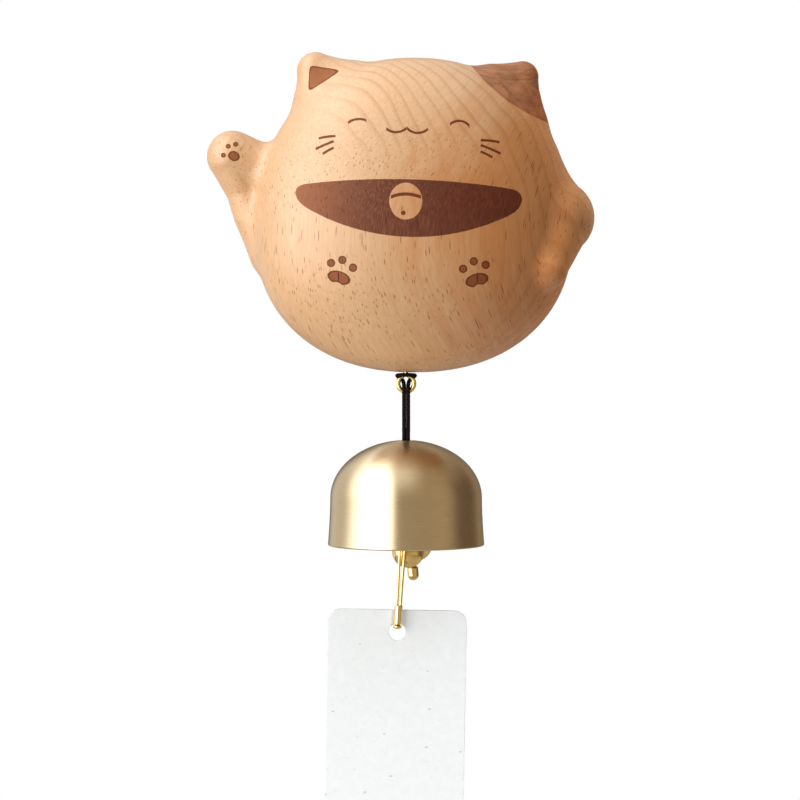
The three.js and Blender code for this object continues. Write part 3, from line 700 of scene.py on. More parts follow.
# %% Balls, pins and drop
EYE_LOOP_WIRE_R = 0.3
EYE_LOOP_R = HANGER_WIRE_R + PLAY + EYE_LOOP_WIRE_R
BALL_R, PIN_R, HOLE_R = 3.9, 0.35, 0.45
FRONT_BALL_Y, FRONT_BALL_DROP, FRONT_BALL_LEAN = 0.6, 15.95, -1.8
REAR_EYE_Y, REAR_BALL_Y, REAR_BALL_DROP, REAR_BALL_LEAN = 5.4, 9.8, 15.2, -9.4
DROP_EYE_Y, DROP_LOW_Y, DROP_TOP, DROP_LEAN = 3.8, 5.6, 19.95, -4.6
DROP_R, DROP_LENGTH, DROP_WIRE_R = 1.35, 3.6, 0.25


def eye_and_stem(name, stem_r, low):
    """A ring round the bar, whose wire turns down into a straight stem."""
    round_bar = arc((0, 0), EYE_LOOP_R, -58, 236, 24)
    down = [[-0.42, -1.28], [-0.06, -1.75], [0, -2.4], [0, low]]
    line = [[x, 0, z] for x, z in round_bar.tolist() + down]
    return sweep(name, smooth_path(line, 0.1), stem_r, 16)


def ball_clapper(side, body, y, drop, lean, back=0.0):
    """A bead with a small countersunk hole at its top, and its eye pin."""
    hole = math.degrees(math.asin(HOLE_R / BALL_R))
    shell = arc((0, -drop), BALL_R, -90, 90 - hole, 64)
    top = BALL_R - drop
    profile = np.vstack([shell[1:], [[HOLE_R - 0.04, top - 0.3], [HOLE_R - 0.04, top - 2]]])
    ball = lathe(f"brass_ball_{side}", profile, (0, 0, 0), 96)
    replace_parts(hang_mesh(ball, y, lean, back), f"clapper_ball_{side}")
    pin = eye_and_stem(f"eye_pin_{side}", PIN_R, top - 1.9)
    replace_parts(hang_mesh(pin, y, lean, back), f"clapper_pin_{side}")
    for piece in (ball, pin):
        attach(piece, body)
    return ball, pin


rear_back = math.degrees(math.atan2(REAR_BALL_Y - REAR_EYE_Y, REAR_BALL_DROP))
rear_drop = REAR_BALL_DROP / math.cos(math.radians(rear_back))
front = ball_clapper("front", "front_clapper", FRONT_BALL_Y, FRONT_BALL_DROP, FRONT_BALL_LEAN)
rear = ball_clapper("rear", "rear_clapper", REAR_EYE_Y, rear_drop, REAR_BALL_LEAN, rear_back)
print("balls", 2 * BALL_R, "mm across, leaning", FRONT_BALL_LEAN, "and", REAR_BALL_LEAN, "degrees")

bullet_profile = np.vstack(
    [
        arc((0, -DROP_TOP - DROP_LENGTH + DROP_R), DROP_R, -88, 0, 20),
        [[DROP_R, -DROP_TOP - 0.55], [DROP_R - 0.06, -DROP_TOP - 0.38], [DROP_R * 0.72, -DROP_TOP - 0.06]],
        [[DROP_R * 0.6, -DROP_TOP], [0.3, -DROP_TOP]],
    ]
)
bullet = lathe("bullet", bullet_profile, (0, 0, 0), 64)
stem = eye_and_stem("stem", DROP_WIRE_R, -DROP_TOP - 0.5)
drop_back = math.degrees(math.atan2(DROP_LOW_Y - DROP_EYE_Y, DROP_TOP))
drop = hang_mesh(joined("brass_bullet_drop", bullet, stem), DROP_EYE_Y, DROP_LEAN, drop_back)
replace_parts(drop, "brass_drop")
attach(drop, "drop")
print("drop", 2 * DROP_R, "by", DROP_LENGTH, "mm")

# %% [markdown]
# ## Hook and ferrule
# The hook is a long loop of fine brass wire, open at the top to go over the bar. Its two legs close
# towards each other, and a sleeve pressed round them keeps them together. Under the sleeve the wire
# turns back through the card.

# %% Hook
HOOK_Y, HOOK_LEAN = -4.0, 3.6
HOOK_WIRE_R, HOOK_ARCH_R = 0.35, 1.25
HOOK_SPREAD_LOW, HOOK_LOOP_LENGTH = 0.42, 28.4
SHANK_R = 0.45
ARCH_Z = HANGER_WIRE_R + PLAY + HOOK_WIRE_R - HOOK_ARCH_R
FERRULE_R, FERRULE_LENGTH = 0.95, 4.6
FERRULE_TOP = HOOK_LOOP_LENGTH + 0.4
FOOT_Z = -(FERRULE_TOP + FERRULE_LENGTH + 0.7)
CARD_FRONT_Y = FERRULE_R + PLAY
CARD_T = 0.6
FOOT_BACK_Y = CARD_FRONT_Y + CARD_T + PLAY + SHANK_R + 0.5

down = np.linspace(0, 1, 8)[1:]
leg_x = HOOK_SPREAD_LOW + (HOOK_ARCH_R - HOOK_SPREAD_LOW) * (1 - down) ** 1.8
leg_z = ARCH_Z * (1 - down) - HOOK_LOOP_LENGTH * down
inside_sleeve = [[HOOK_WIRE_R + 0.02, -FERRULE_TOP - 1], [HOOK_WIRE_R + 0.02, -FERRULE_TOP - 3]]
right_leg = np.stack([leg_x, leg_z], -1).tolist() + inside_sleeve
left_leg = [[-x, z] for x, z in reversed(right_leg)]
over_bar = arc((0, ARCH_Z), HOOK_ARCH_R, 180, 0, 15).tolist()
wire_line = [[x, 0, z] for x, z in left_leg + over_bar + right_leg]
wire = sweep("wire", smooth_path(wire_line, 0.15), HOOK_WIRE_R, 16)

foot_line = [
    [0, 0, FOOT_Z + 3],
    [0, 0, FOOT_Z + 1.2],
    [0, 0.12, FOOT_Z + 0.35],
    [0, 0.7, FOOT_Z],
    [0, FOOT_BACK_Y - 0.8, FOOT_Z],
    [0, FOOT_BACK_Y - 0.15, FOOT_Z + 0.3],
    [0, FOOT_BACK_Y, FOOT_Z + 1],
    [0, FOOT_BACK_Y, FOOT_Z + 2.6],
]
foot = sweep("foot", smooth_path(foot_line, 0.1), SHANK_R, 20)
bead_profile = arc((0, 0), 1, -86, 86, 24) * [1.1, 0.58] + [0, FOOT_Z + 0.1]
bead = lathe("bead", bead_profile, (0, 0, 0), 48)
hook = hang_mesh(joined("wire_hook", wire, foot, bead), HOOK_Y, HOOK_LEAN)
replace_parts(hook, "tag_hook")
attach(hook, "hook")
print("hook", round(-FOOT_Z, 1), "mm from the bar to its foot")

# %% [markdown]
# The sleeve is a short brass tube. Pressing it left it slightly waisted, with a soft lip at each
# end.

# %% Ferrule
LIP_R = 0.12
SLEEVE_TOP, SLEEVE_LOW = -FERRULE_TOP - LIP_R, -FERRULE_TOP - FERRULE_LENGTH + LIP_R
down = np.linspace(0, 1, 25)
waist = 0.05 * np.sin(np.pi * down) ** 2
sleeve_outside = np.stack([FERRULE_R - waist, SLEEVE_TOP + down * (SLEEVE_LOW - SLEEVE_TOP)], -1)
sleeve_low = arc((FERRULE_R - LIP_R, SLEEVE_LOW), LIP_R, -10, -170, 8)
sleeve_high = arc((FERRULE_R - LIP_R, SLEEVE_TOP), LIP_R, 170, 10, 8)
sleeve_profile = np.vstack([sleeve_outside, sleeve_low, sleeve_high])
ferrule = lathe("pressed_ferrule", sleeve_profile, (0, 0, 0), 64, closed=True)
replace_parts(hang_mesh(ferrule, HOOK_Y, HOOK_LEAN), "hook_ferrule")
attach(ferrule, "hook")
print("ferrule", 2 * FERRULE_R, "by", FERRULE_LENGTH, "mm")

# %% [markdown]
# ## Card
# The card is stiff white paper, cut with round corners and punched for the hook. Its outline is
# seen from the middle of the hole, so rings can run from the hole's edge out to the card's edge,
# over it, and back on the other side.

# %% Card
CARD_WIDTH, CARD_LENGTH, CARD_CORNER = 34.0, 110.0, 3.2
CARD_HOLE_R, CARD_HOLE_BELOW_TOP, CARD_LEAN = 2.1, 5.5, 1.1
CARD_HOLE_DROP = CARD_HOLE_R - SHANK_R - PLAY
CUT_EDGE = 0.08  # how far the cutter rounded the card's edges


def card_outline(drawn_in):
    """The straight sides and the quarter circles at the corners, drawn in from the edge, hole at
    the middle."""
    r = CARD_CORNER - drawn_in
    across = CARD_WIDTH / 2 - CARD_CORNER
    top = CARD_HOLE_BELOW_TOP - CARD_CORNER
    low = CARD_HOLE_BELOW_TOP - CARD_LENGTH + CARD_CORNER
    corners = [(across, top, 0), (-across, top, 90), (-across, low, 180), (across, low, 270)]
    arcs = [arc((x, z), r, start, start + 90, 14) for x, z, start in corners]
    runs = []
    for this, after in zip(arcs, arcs[1:] + arcs[:1]):
        share = np.linspace(0, 1, 60)[1:-1, None]
        runs += [this, this[-1] + (after[0] - this[-1]) * share]
    return np.vstack(runs)


edge = card_outline(0)
toward = edge / np.linalg.norm(edge, axis=1)[:, None]
hole = toward * CARD_HOLE_R
face = [toward * (CARD_HOLE_R + CUT_EDGE * n) for n in (1, 2)]
face += [card_outline(CUT_EDGE * n) for n in (2, 1)]
layers = [(line, 0) for line in face]
layers += [(edge, CUT_EDGE), (edge, CARD_T - CUT_EDGE)]
layers += [(line, CARD_T) for line in reversed(face)]
layers += [(hole, CARD_T - CUT_EDGE), (hole, CUT_EDGE)]
card_rings = []
for line, depth in layers:
    x, z = line.T
    card_rings.append(np.stack([x, np.full(len(x), CARD_FRONT_Y + depth), z - CARD_HOLE_DROP], -1))
lean = math.radians(CARD_LEAN)
card_turn = np.array([[math.cos(lean), 0, math.sin(lean)], [0, 1, 0], [-math.sin(lean), 0, math.cos(lean)]])
card = rings_mesh("white_card", np.array(card_rings) @ card_turn.T + pivot("tag_sway"), closed=True)
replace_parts(card, "card_tag")
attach(card, "tag")
print("card", CARD_WIDTH, "by", CARD_LENGTH, "by", CARD_T, "mm")

# %% [markdown]
# Everything in brass but the bell is polished, so these pieces share one material.

# %% The pieces of polished brass
BRIGHT_PIECES = [eye, hanger, *front, *rear, drop, hook, ferrule]
print(len(BRIGHT_PIECES), "pieces of polished brass")

# %% [markdown]
# ## Colours and nodes
# Colours are written as the eye sees them, in sRGB hex, and turned to the linear values that the
# shader takes. One function adds any node, sets its properties and links its inputs. The inputs of
# a MapRange are the value, the range that it is in, and the range that it becomes.


# %% Helpers for materials
def linear(hex_colour):
    """((v + 0.055) / 1.055) to the power 2.4 for each sRGB channel, or v / 12.92 when it is very
    dark."""
    values = [int(hex_colour[i : i + 2], 16) / 255 for i in (1, 3, 5)]
    return tuple(v / 12.92 if v <= 0.04045 else ((v + 0.055) / 1.055) ** 2.4 for v in values) + (1.0,)


def add(tree, kind, inputs=(), out=0, stops=(), **settings):
    """Adds a node, sets its properties, fills or links its inputs by place or name, and returns one
    of its outputs.

    A sum is named in its kind, as in Math:ADD. The stops of a colour ramp are (position, sRGB hex).
    """
    kind, _, operation = kind.partition(":")
    node = tree.nodes.new("ShaderNode" + kind)
    for name, value in settings.items() if not operation else [("operation", operation), *settings.items()]:
        setattr(node, name, value)
    for key, value in inputs.items() if isinstance(inputs, dict) else enumerate(inputs):
        if isinstance(value, bpy.types.NodeSocket):
            tree.links.new(value, node.inputs[key])
        elif value is not None:
            node.inputs[key].default_value = value
    for position, colour in stops[1:-1]:
        node.color_ramp.elements.new(position)
    for element, (position, colour) in zip(node.color_ramp.elements if stops else (), stops):
        element.position = position
        element.color = linear(colour)
    return node.outputs[out] if node.outputs else None


BLEND = {"out": 2, "data_type": "RGBA"}  # a Mix node of two colours
STAIN = {**BLEND, "blend_type": "MULTIPLY"}  # the second colour darkens the first, as far as the share goes
SOFT = {"interpolation_type": "SMOOTHSTEP"}  # a range that starts and ends gently


def new_material(name):
    """A material with nothing in it but object coordinates, in mm."""
    material = bpy.data.materials.new(name)
    material.use_nodes = True
    tree = material.node_tree
    tree.nodes.clear()
    place = add(tree, "TexCoord", out="Object")
    return material, tree, add(tree, "VectorMath:SCALE", {0: place, 3: 1 / MM})


# %% [markdown]
# ## Beech
# Steamed beech is a pale, pinkish-gold wood. Its growth rings are sheets a few mm apart, which show
# as soft stripes over the head and down the right side. Its pores are fine dark dashes along the
# fibres, drawn a little longer than the real ones so that they show. Toward the heart of the log,
# on the right, it is redder, and painted shade darkens it there too, except on the resting arm,
# which is left lighter as a painted highlight. Oil gives it a satin face.

# %% Beech, its measures and fibres
RING_SPACING = 2.3  # mm between growth rings
RING_WIDENING = 0.009  # per mm, how the rings grow wider apart to the right
RING_NORMAL = (0.64, 0.77, 0.0)  # across the sheets, in x, y, z
PORE_ACROSS, PORE_ALONG = 0.42, 5.4  # mm between pores
HEART_STAIN_AND_SHADE = (0.83, 0.57, 0.36, 1)  # how the wood reddens and darkens to the right: nearer the heart of the log, and painted shade on the side away from the lamps


def fibre_place(tree, in_mm):
    """The place bent so that fibres run straight up in it.

    The bends are x less 0.012 (z + 5) squared, for fibres that lean on the face and fan out below,
    and y less 0.017 (z + 3) squared, for fibres that follow the round front.
    """
    x, y, z = add(tree, "SeparateXYZ", [in_mm]).node.outputs
    fan_z = add(tree, "Math:ADD", [z, 5.0])
    front_z = add(tree, "Math:ADD", [z, 3.0])
    bent_x = add(tree, "Math:MULTIPLY_ADD", [add(tree, "Math:MULTIPLY", [fan_z, fan_z]), -0.012, x])
    bent_y = add(tree, "Math:MULTIPLY_ADD", [add(tree, "Math:MULTIPLY", [front_z, front_z]), -0.017, y])
    return add(tree, "CombineXYZ", [bent_x, bent_y, z])


# %% [markdown]
# The growth rings are slanting sheets, which the round surface cuts. Each ring grows darker across
# its width and ends at a sharp edge, where one year's growth stops.


# %% Growth rings
def ring_stripe(tree, in_mm, right, up):
    """The dark edge of each growth ring, 0 to 1: the fraction of (across - w x squared + wander) /
    spacing."""
    soft = add(tree, "TexNoise", {"Vector": in_mm, "Scale": 0.035, "Detail": 2.0})
    across = add(tree, "VectorMath:DOT_PRODUCT", [in_mm, RING_NORMAL], out=1)
    on_right = add(tree, "Math:MAXIMUM", [right, 0.0])
    widened = add(tree, "Math:MULTIPLY", [on_right, on_right])
    across = add(tree, "Math:MULTIPLY_ADD", [widened, -RING_WIDENING, across])
    wander = add(tree, "Math:MULTIPLY_ADD", [soft, 7.0, across])
    ring = add(tree, "Math:FRACT", [add(tree, "Math:DIVIDE", [wander, RING_SPACING])])
    late = add(tree, "MapRange", [ring, 0.55, 0.94, 0.0, 1.0], **SOFT)
    early = add(tree, "MapRange", [ring, 0.94, 1.0, 1.0, 0.0], **SOFT)
    # They show on the brow, on the raised arm and down the right side, and hardly on the face
    brow = add(tree, "MapRange", [up, 10.0, 24.0, 0.06, 0.7], **SOFT)
    inward = add(tree, "MapRange", [right, -27.0, -8.0, 0.1, 1.0], **SOFT)
    on_arm = add(tree, "MapRange", [right, -36.0, -31.0, 0.7, 0.0])
    clear = add(tree, "Math:MULTIPLY", [brow, add(tree, "Math:MAXIMUM", [inward, on_arm])])
    at_side = add(tree, "MapRange", [right, 12.0, 30.0, 0.0, 0.5], **SOFT)
    clear = add(tree, "Math:MAXIMUM", [clear, at_side])
    return add(tree, "Math:MULTIPLY", [add(tree, "Math:MULTIPLY", [late, early]), clear])


# %% [markdown]
# The colour is built in layers: the rings, then warm clouds, fine streaks along the fibres, and the
# red of the heartwood over all of them, which also paints shade on the right side.


# %% Colour of the wood
def wood_colour(tree, in_mm, fibres):
    """Pale wood with its rings, warm clouds and fine streaks, stained redder toward the heart, with painted
    shade darkening the right side.
    """
    right, _, up = add(tree, "SeparateXYZ", [in_mm]).node.outputs
    stripe = ring_stripe(tree, in_mm, right, up)
    tone = add(tree, "ValToRGB", [stripe], stops=[(0.0, "#deb387"), (1.0, "#bb8757")])
    cloud = add(tree, "TexNoise", {"Vector": in_mm, "Scale": 0.06, "Detail": 3.0})
    drawn = add(tree, "Mapping", {"Vector": fibres, "Scale": (2.2, 2.2, 0.12)})
    streak = add(tree, "TexNoise", {"Vector": drawn, "Scale": 1.0, "Detail": 3.0})
    for noise, colour in ((cloud, "#d2a273"), (streak, "#c4905f")):
        share = add(tree, "MapRange", [noise, 0.35, 0.7, 0.0, 0.5])
        tone = add(tree, "Mix", {0: share, 6: tone, 7: linear(colour)}, **BLEND)
    # The heart and the painted shade of the right side lie to the right of a slanting line through the
    # face, and their edge wanders in bands
    off_middle = add(tree, "Math:ABSOLUTE", [add(tree, "Math:SUBTRACT", [up, 5.0])])
    toward_redness_and_shade = add(tree, "Math:MULTIPLY_ADD", [off_middle, -0.7, right])
    toward_redness_and_shade = add(tree, "Math:MULTIPLY_ADD", [up, -0.25, toward_redness_and_shade])
    broad = add(tree, "Mapping", {"Vector": fibres, "Scale": (0.3, 0.3, 0.03)})
    band = add(tree, "TexNoise", {"Vector": broad, "Scale": 1.0, "Detail": 2.0})
    centred = add(tree, "Math:SUBTRACT", [band, 0.5])
    banded = add(tree, "Math:MULTIPLY_ADD", [centred, 34.0, toward_redness_and_shade])
    redness_and_shade = add(tree, "MapRange", [banded, -24.0, 28.0, 0.0, 1.2], **SOFT)
    # Less of the stain on the resting arm at the far right: a painted highlight where the arm catches the
    # light
    outer = add(tree, "MapRange", [right, 37.0, 44.0, 1.0, 0.55])
    redness_and_shade = add(tree, "Math:MULTIPLY", [redness_and_shade, outer])
    return add(tree, "Mix", {0: redness_and_shade, 6: tone, 7: HEART_STAIN_AND_SHADE}, **STAIN)


# %% [markdown]
# A pore is the middle of a cell that is stretched along the fibres. The cells draw pores of
# different sizes, and some draw none.


# %% Pores
def open_pores(tree, fibres, up):
    """1 in a pore and 0 beside it. Every cell along the fibres holds one, of its own size or none."""
    stretched = (1 / PORE_ACROSS, 1 / PORE_ACROSS, 1 / PORE_ALONG)
    cells = add(tree, "Mapping", {"Vector": fibres, "Scale": stretched})
    nearest = add(tree, "TexVoronoi", {"Vector": cells, "Scale": 1.0, "Randomness": 1.0})
    chosen = add(tree, "SeparateColor", [nearest.node.outputs["Color"]])
    size = add(tree, "MapRange", [chosen, 0.1, 1.0, 0.0, 0.34])
    shown = add(tree, "Math:SUBTRACT", [size, nearest])
    pore = add(tree, "MapRange", [shown, -0.02, 0.08, 0.0, 1.0], **SOFT)
    closing = add(tree, "MapRange", [up, 12.0, 28.0, 1.0, 0.3], **SOFT)
    return add(tree, "Math:MULTIPLY", [pore, closing])


# %% [markdown]
# ## Marks in the wood
# The face, the bib, the paws and the ears are burnt into the wood from the front, so each mark is a
# shape in the plane of the front. Each shape gives its distance in mm: less than 0 inside. The
# nearest of all of them decides how dark the wood is. Shapes made this way stay sharp at any size.


# %% Shapes for the marks
def circle_through(a, b, c):
    """The centre and radius of the circle through three points."""
    (ax, az), (bx, bz), (cx, cz) = a, b, c
    d = 2 * (ax * (bz - cz) + bx * (cz - az) + cx * (az - bz))
    sa, sb, sc = ax**2 + az**2, bx**2 + bz**2, cx**2 + cz**2
    x = (sa * (bz - cz) + sb * (cz - az) + sc * (az - bz)) / d
    z = (sa * (cx - bx) + sb * (ax - cx) + sc * (bx - ax)) / d
    return (x, z), math.hypot(ax - x, az - z)


def round_distance(tree, flat, centre, radius):
    """The distance to a circle, less than 0 inside."""
    away = add(tree, "VectorMath:DISTANCE", [flat, (centre[0], 0, centre[1])], out=1)
    return add(tree, "Math:SUBTRACT", [away, radius])


def stroke(tree, flat, start, middle, end, width):
    """A thin arc through three points: near its circle, and no farther from its middle than its
    ends are."""
    centre, radius = circle_through(start, middle, end)
    off_line = add(tree, "Math:ABSOLUTE", [round_distance(tree, flat, centre, radius)])
    thin = add(tree, "Math:SUBTRACT", [off_line, width / 2])
    halfway = ((start[0] + end[0]) / 2, (start[1] + end[1]) / 2)
    reach = math.dist(start, end) / 2
    return add(tree, "Math:MAXIMUM", [thin, round_distance(tree, flat, halfway, reach)])


def spot(tree, flat, centre, radii, turn=0.0):
    """An ellipse, turned clockwise by some degrees."""
    mapping = {
        "Vector": flat,
        "Location": (centre[0], 0, centre[1]),
        "Rotation": (0, math.radians(turn), 0),
        "Scale": (radii[0], 1, radii[1]),
    }
    share = add(tree, "Mapping", mapping, vector_type="TEXTURE")
    length = add(tree, "VectorMath:LENGTH", [share], out=1)
    return add(tree, "Math:MULTIPLY", [add(tree, "Math:SUBTRACT", [length, 1.0]), min(radii)])


def paw_mark(tree, flat, pad, toes, turn, toe_r, pad_radii, notch_r):
    """Toes, and a pad with a hollow cut in its lower side."""
    shape = spot(tree, flat, pad, pad_radii, turn)
    if notch_r:
        a = math.radians(turn)
        below = pad_radii[1] + notch_r * 0.7
        at = (pad[0] - below * math.sin(a), pad[1] - below * math.cos(a))
        hollow = add(tree, "Math:MULTIPLY", [round_distance(tree, flat, at, notch_r), -1.0])
        shape = add(tree, "Math:SMOOTH_MAX", [shape, hollow, 0.35])
    for toe in toes:
        shape = add(tree, "Math:MINIMUM", [shape, round_distance(tree, flat, toe, toe_r)])
    return shape


def nearest_of(tree, shapes):
    """The smallest of several distances."""
    least = shapes[0]
    for shape in shapes[1:]:
        least = add(tree, "Math:MINIMUM", [least, shape])
    return least


# %% [markdown]
# Places of the marks are in mm on the cat, x to the right and z up. The eyes are two arcs, the
# mouth is two smaller ones that meet under the nose, and three whiskers lie on each cheek.

# %% Places of the marks
LINE, BAND_LINE, SEAM_LINE = 0.6, 0.8, 0.25  # width of the fine lines, the bell's band and the pads' seams
EYES = [((-14.0, 23.1), (-11.9, 23.95), (-9.6, 23.6)), ((10.5, 22.65), (12.4, 23.5), (15.2, 22.2))]
MOUTH = [((-4.8, 21.6), (-2.3, 20.75), (0.15, 21.75)), ((0.15, 21.75), (2.6, 20.55), (5.2, 21.5))]
WHISKERS = [
    ((-21.1, 19.4), (-19.1, 19.75), (-17.0, 19.9)),
    ((-21.8, 16.8), (-19.6, 17.8), (-17.4, 18.65)),
    ((-20.1, 15.6), (-18.75, 16.4), (-17.4, 17.1)),
    ((17.9, 18.85), (20.1, 18.75), (22.4, 18.4)),
    ((17.9, 17.65), (20.3, 16.75), (22.7, 15.65)),
    ((17.8, 16.15), (19.25, 15.5), (20.7, 14.7)),
]
BIB_TOP = ((-22.9, 8.55), (-0.5, 9.4), (24.0, 7.35))
BIB_LOW = ((-23.6, 2.45), (1.5, -4.4), (24.3, 0.6))
BIB_MIDDLE, BIB_HALF, BIB_CORNER = 0.53, 27.4, 4.0
BIB_BELL, BIB_BELL_RADII = (-0.12, 4.17), (3.95, 4.4)
BIB_BELL_BAND = ((-3.7, 5.15), (-0.6, 5.85), (3.55, 5.1))
BIB_BELL_DOT, BIB_BELL_DOT_R = (-0.7, 1.35), 0.55
EAR_PATCH = ((16.6, 36.6), (25.1, 28.3), (33.9, 23.9))
INNER_EAR_ROUNDING = 1.9
INNER_EAR = ((-23.6, 37.7), (-15.6, 36.4), (-23.9, 31.0))
LEFT_PAW = ((-16.15, -14.15), [(-18.05, -10.6), (-15.3, -9.87), (-12.75, -11.75)], 17.0)
RIGHT_PAW = ((16.95, -14.7), [(13.65, -12.0), (16.2, -10.2), (19.05, -11.05)], -15.0)
PAD_SEAMS = [
    ((-16.3, -12.9), (-16.25, -13.9), (-16.3, -14.9)),
    ((17.0, -13.4), (17.05, -14.3), (17.0, -15.1)),
]
RAISED_PAW = ((-42.0, 15.5), [(-43.4, 17.9), (-41.6, 18.4), (-44.6, 15.7)], 20.0)


def triangle_distance(tree, flat, corners, rounding):
    """Inside all three edges, with a smooth maximum that rounds the corners."""
    middle = np.mean(corners, 0)
    edges = []
    for a, b in zip(corners, corners[1:] + corners[:1]):
        out = np.array([b[1] - a[1], a[0] - b[0]])
        out = out / np.linalg.norm(out)
        out = out if (np.array(a) - middle) @ out > 0 else -out
        level = add(tree, "VectorMath:DOT_PRODUCT", [flat, (out[0], 0, out[1])], out=1)
        edges.append(add(tree, "Math:SUBTRACT", [level, float(np.array(a) @ out)]))
    inner = add(tree, "Math:SMOOTH_MAX", [edges[0], edges[1], rounding])
    return add(tree, "Math:SMOOTH_MAX", [inner, edges[2], rounding])


# %% [markdown]
# ## Beech with its marks
# A burnt mark darkens the wood and leaves its grain to be seen, so each mark multiplies the wood's
# colour. The bib is burnt darkest, then the fine lines and paws, and the ears least. The pores go
# on top of all.

# %% Shapes on the cat
beech, tree, in_mm = new_material("beech_oiled_and_burnt")
x, y, z = add(tree, "SeparateXYZ", [in_mm]).node.outputs
fibres = fibre_place(tree, in_mm)
wood = wood_colour(tree, in_mm, fibres)
pore = open_pores(tree, fibres, z)
flat = add(tree, "CombineXYZ", [x, 0.0, z])

bib_top, bib_top_r = circle_through(*BIB_TOP)
bib_low, bib_low_r = circle_through(*BIB_LOW)
below_top = round_distance(tree, flat, bib_top, bib_top_r)
above_low = round_distance(tree, flat, bib_low, bib_low_r)
lens = add(tree, "Math:MAXIMUM", [below_top, above_low])
beside = add(tree, "Math:ABSOLUTE", [add(tree, "Math:SUBTRACT", [x, BIB_MIDDLE])])
bib = add(tree, "Math:SMOOTH_MAX", [lens, add(tree, "Math:SUBTRACT", [beside, BIB_HALF]), BIB_CORNER])
bell_shape = spot(tree, flat, BIB_BELL, BIB_BELL_RADII)
bib_left = add(tree, "Math:MAXIMUM", [bib, add(tree, "Math:MULTIPLY", [bell_shape, -1.0])])

lines = [stroke(tree, flat, *points, LINE) for points in EYES + MOUTH + WHISKERS]
lines.append(stroke(tree, flat, *BIB_BELL_BAND, BAND_LINE))
lines += [stroke(tree, flat, *points, SEAM_LINE) for points in PAD_SEAMS]
lines.append(round_distance(tree, flat, BIB_BELL_DOT, BIB_BELL_DOT_R))
paws = [
    paw_mark(tree, flat, *paw, toe_r=1.0, pad_radii=(2.85, 1.6), notch_r=1.7)
    for paw in (LEFT_PAW, RIGHT_PAW)
]
small_paw = paw_mark(tree, flat, *RAISED_PAW, toe_r=0.6, pad_radii=(1.45, 1.2), notch_r=0)
patch_centre, patch_r = circle_through(*EAR_PATCH)
patch = round_distance(tree, flat, patch_centre, patch_r)
inner_ear = triangle_distance(tree, flat, list(INNER_EAR), INNER_EAR_ROUNDING)
print(len(lines), "fine marks and", len(paws) + 1, "paws")

# %% [markdown]
# A stain is the share of red, green and blue that the burnt wood keeps. Charring takes the blue
# first.

# %% Stains
BIB_STAIN = (0.15, 0.068, 0.05, 1)
# The pale burn colour also paints the sheen on the left end of the bib
BIB_PALE_BURN_AND_SHEEN = (0.5, 0.3, 0.25, 1)
LINE_STAIN = (0.22, 0.09, 0.025, 1)
PAW_STAIN = (0.4, 0.23, 0.14, 1)
EAR_STAIN = (0.7, 0.54, 0.52, 1)
EAR_DARK_STAIN = (0.31, 0.25, 0.28, 1)
INNER_EAR_STAIN = (0.44, 0.26, 0.18, 1)
OUTLINE_STAIN = (0.5, 0.37, 0.22, 1)
PORE_STAIN = (0.38, 0.23, 0.12, 1)
FRONT, PAW_FRONT, ANY_SIDE = -18.0, -19.5, 100.0  # a mark shows on wood with a smaller y than this
OUTLINE = 0.3  # width of the darker edge of the paws and the inner ear
jitter = add(tree, "TexNoise", {"Vector": in_mm, "Scale": 1.8, "Detail": 2.0})
unevenness = add(tree, "Math:MULTIPLY", [add(tree, "Math:SUBTRACT", [jitter, 0.5]), 0.16])


def burnt_share(distance, front_of):
    """1 inside a mark and 0 outside, with an edge 0.12 mm wide, and only on wood nearer the viewer."""
    uneven = add(tree, "Math:ADD", [distance, unevenness])
    inside = add(tree, "MapRange", [uneven, -0.06, 0.06, 1.0, 0.0], **SOFT)
    facing = add(tree, "Math:LESS_THAN", [y, front_of])
    return add(tree, "Math:MULTIPLY", [inside, facing])


grained, shares = wood, []
for distance, stain, front_of, outlined in [
    (bib_left, BIB_STAIN, FRONT, False),
    (nearest_of(tree, lines), LINE_STAIN, FRONT, False),
    (nearest_of(tree, paws), PAW_STAIN, FRONT, True),
    (small_paw, PAW_STAIN, PAW_FRONT, True),
    (patch, EAR_STAIN, ANY_SIDE, False),
    (inner_ear, INNER_EAR_STAIN, FRONT, True),
]:
    share = burnt_share(distance, front_of)
    shares.append(share)
    grained = add(tree, "Mix", {0: share, 6: grained, 7: stain}, **STAIN)
    if outlined:
        within = burnt_share(add(tree, "Math:ADD", [distance, OUTLINE]), front_of)
        edge = add(tree, "Math:SUBTRACT", [share, within])
        grained = add(tree, "Mix", {0: edge, 6: grained, 7: OUTLINE_STAIN}, **STAIN)
print(len(shares), "groups of marks")

# %% [markdown]
# The burn isn't even. The bib is paler in streaks along the fibres, and the patch on the ear is
# darker in a swirl. The bib is paler at its left end as well, partly a lighter burn and partly a
# painted sheen from the lamps on the left.

# %% Uneven burn and painted sheen
drawn = add(tree, "Mapping", {"Vector": fibres, "Scale": (5.0, 5.0, 0.4)})
scorch = add(tree, "TexNoise", {"Vector": drawn, "Scale": 1.0, "Detail": 2.0})
pale = add(tree, "MapRange", [scorch, 0.45, 0.75, 0.0, 0.85])
pale = add(tree, "Math:MULTIPLY", [pale, add(tree, "MapRange", [x, -4.0, 9.0, 1.0, 0.45])])
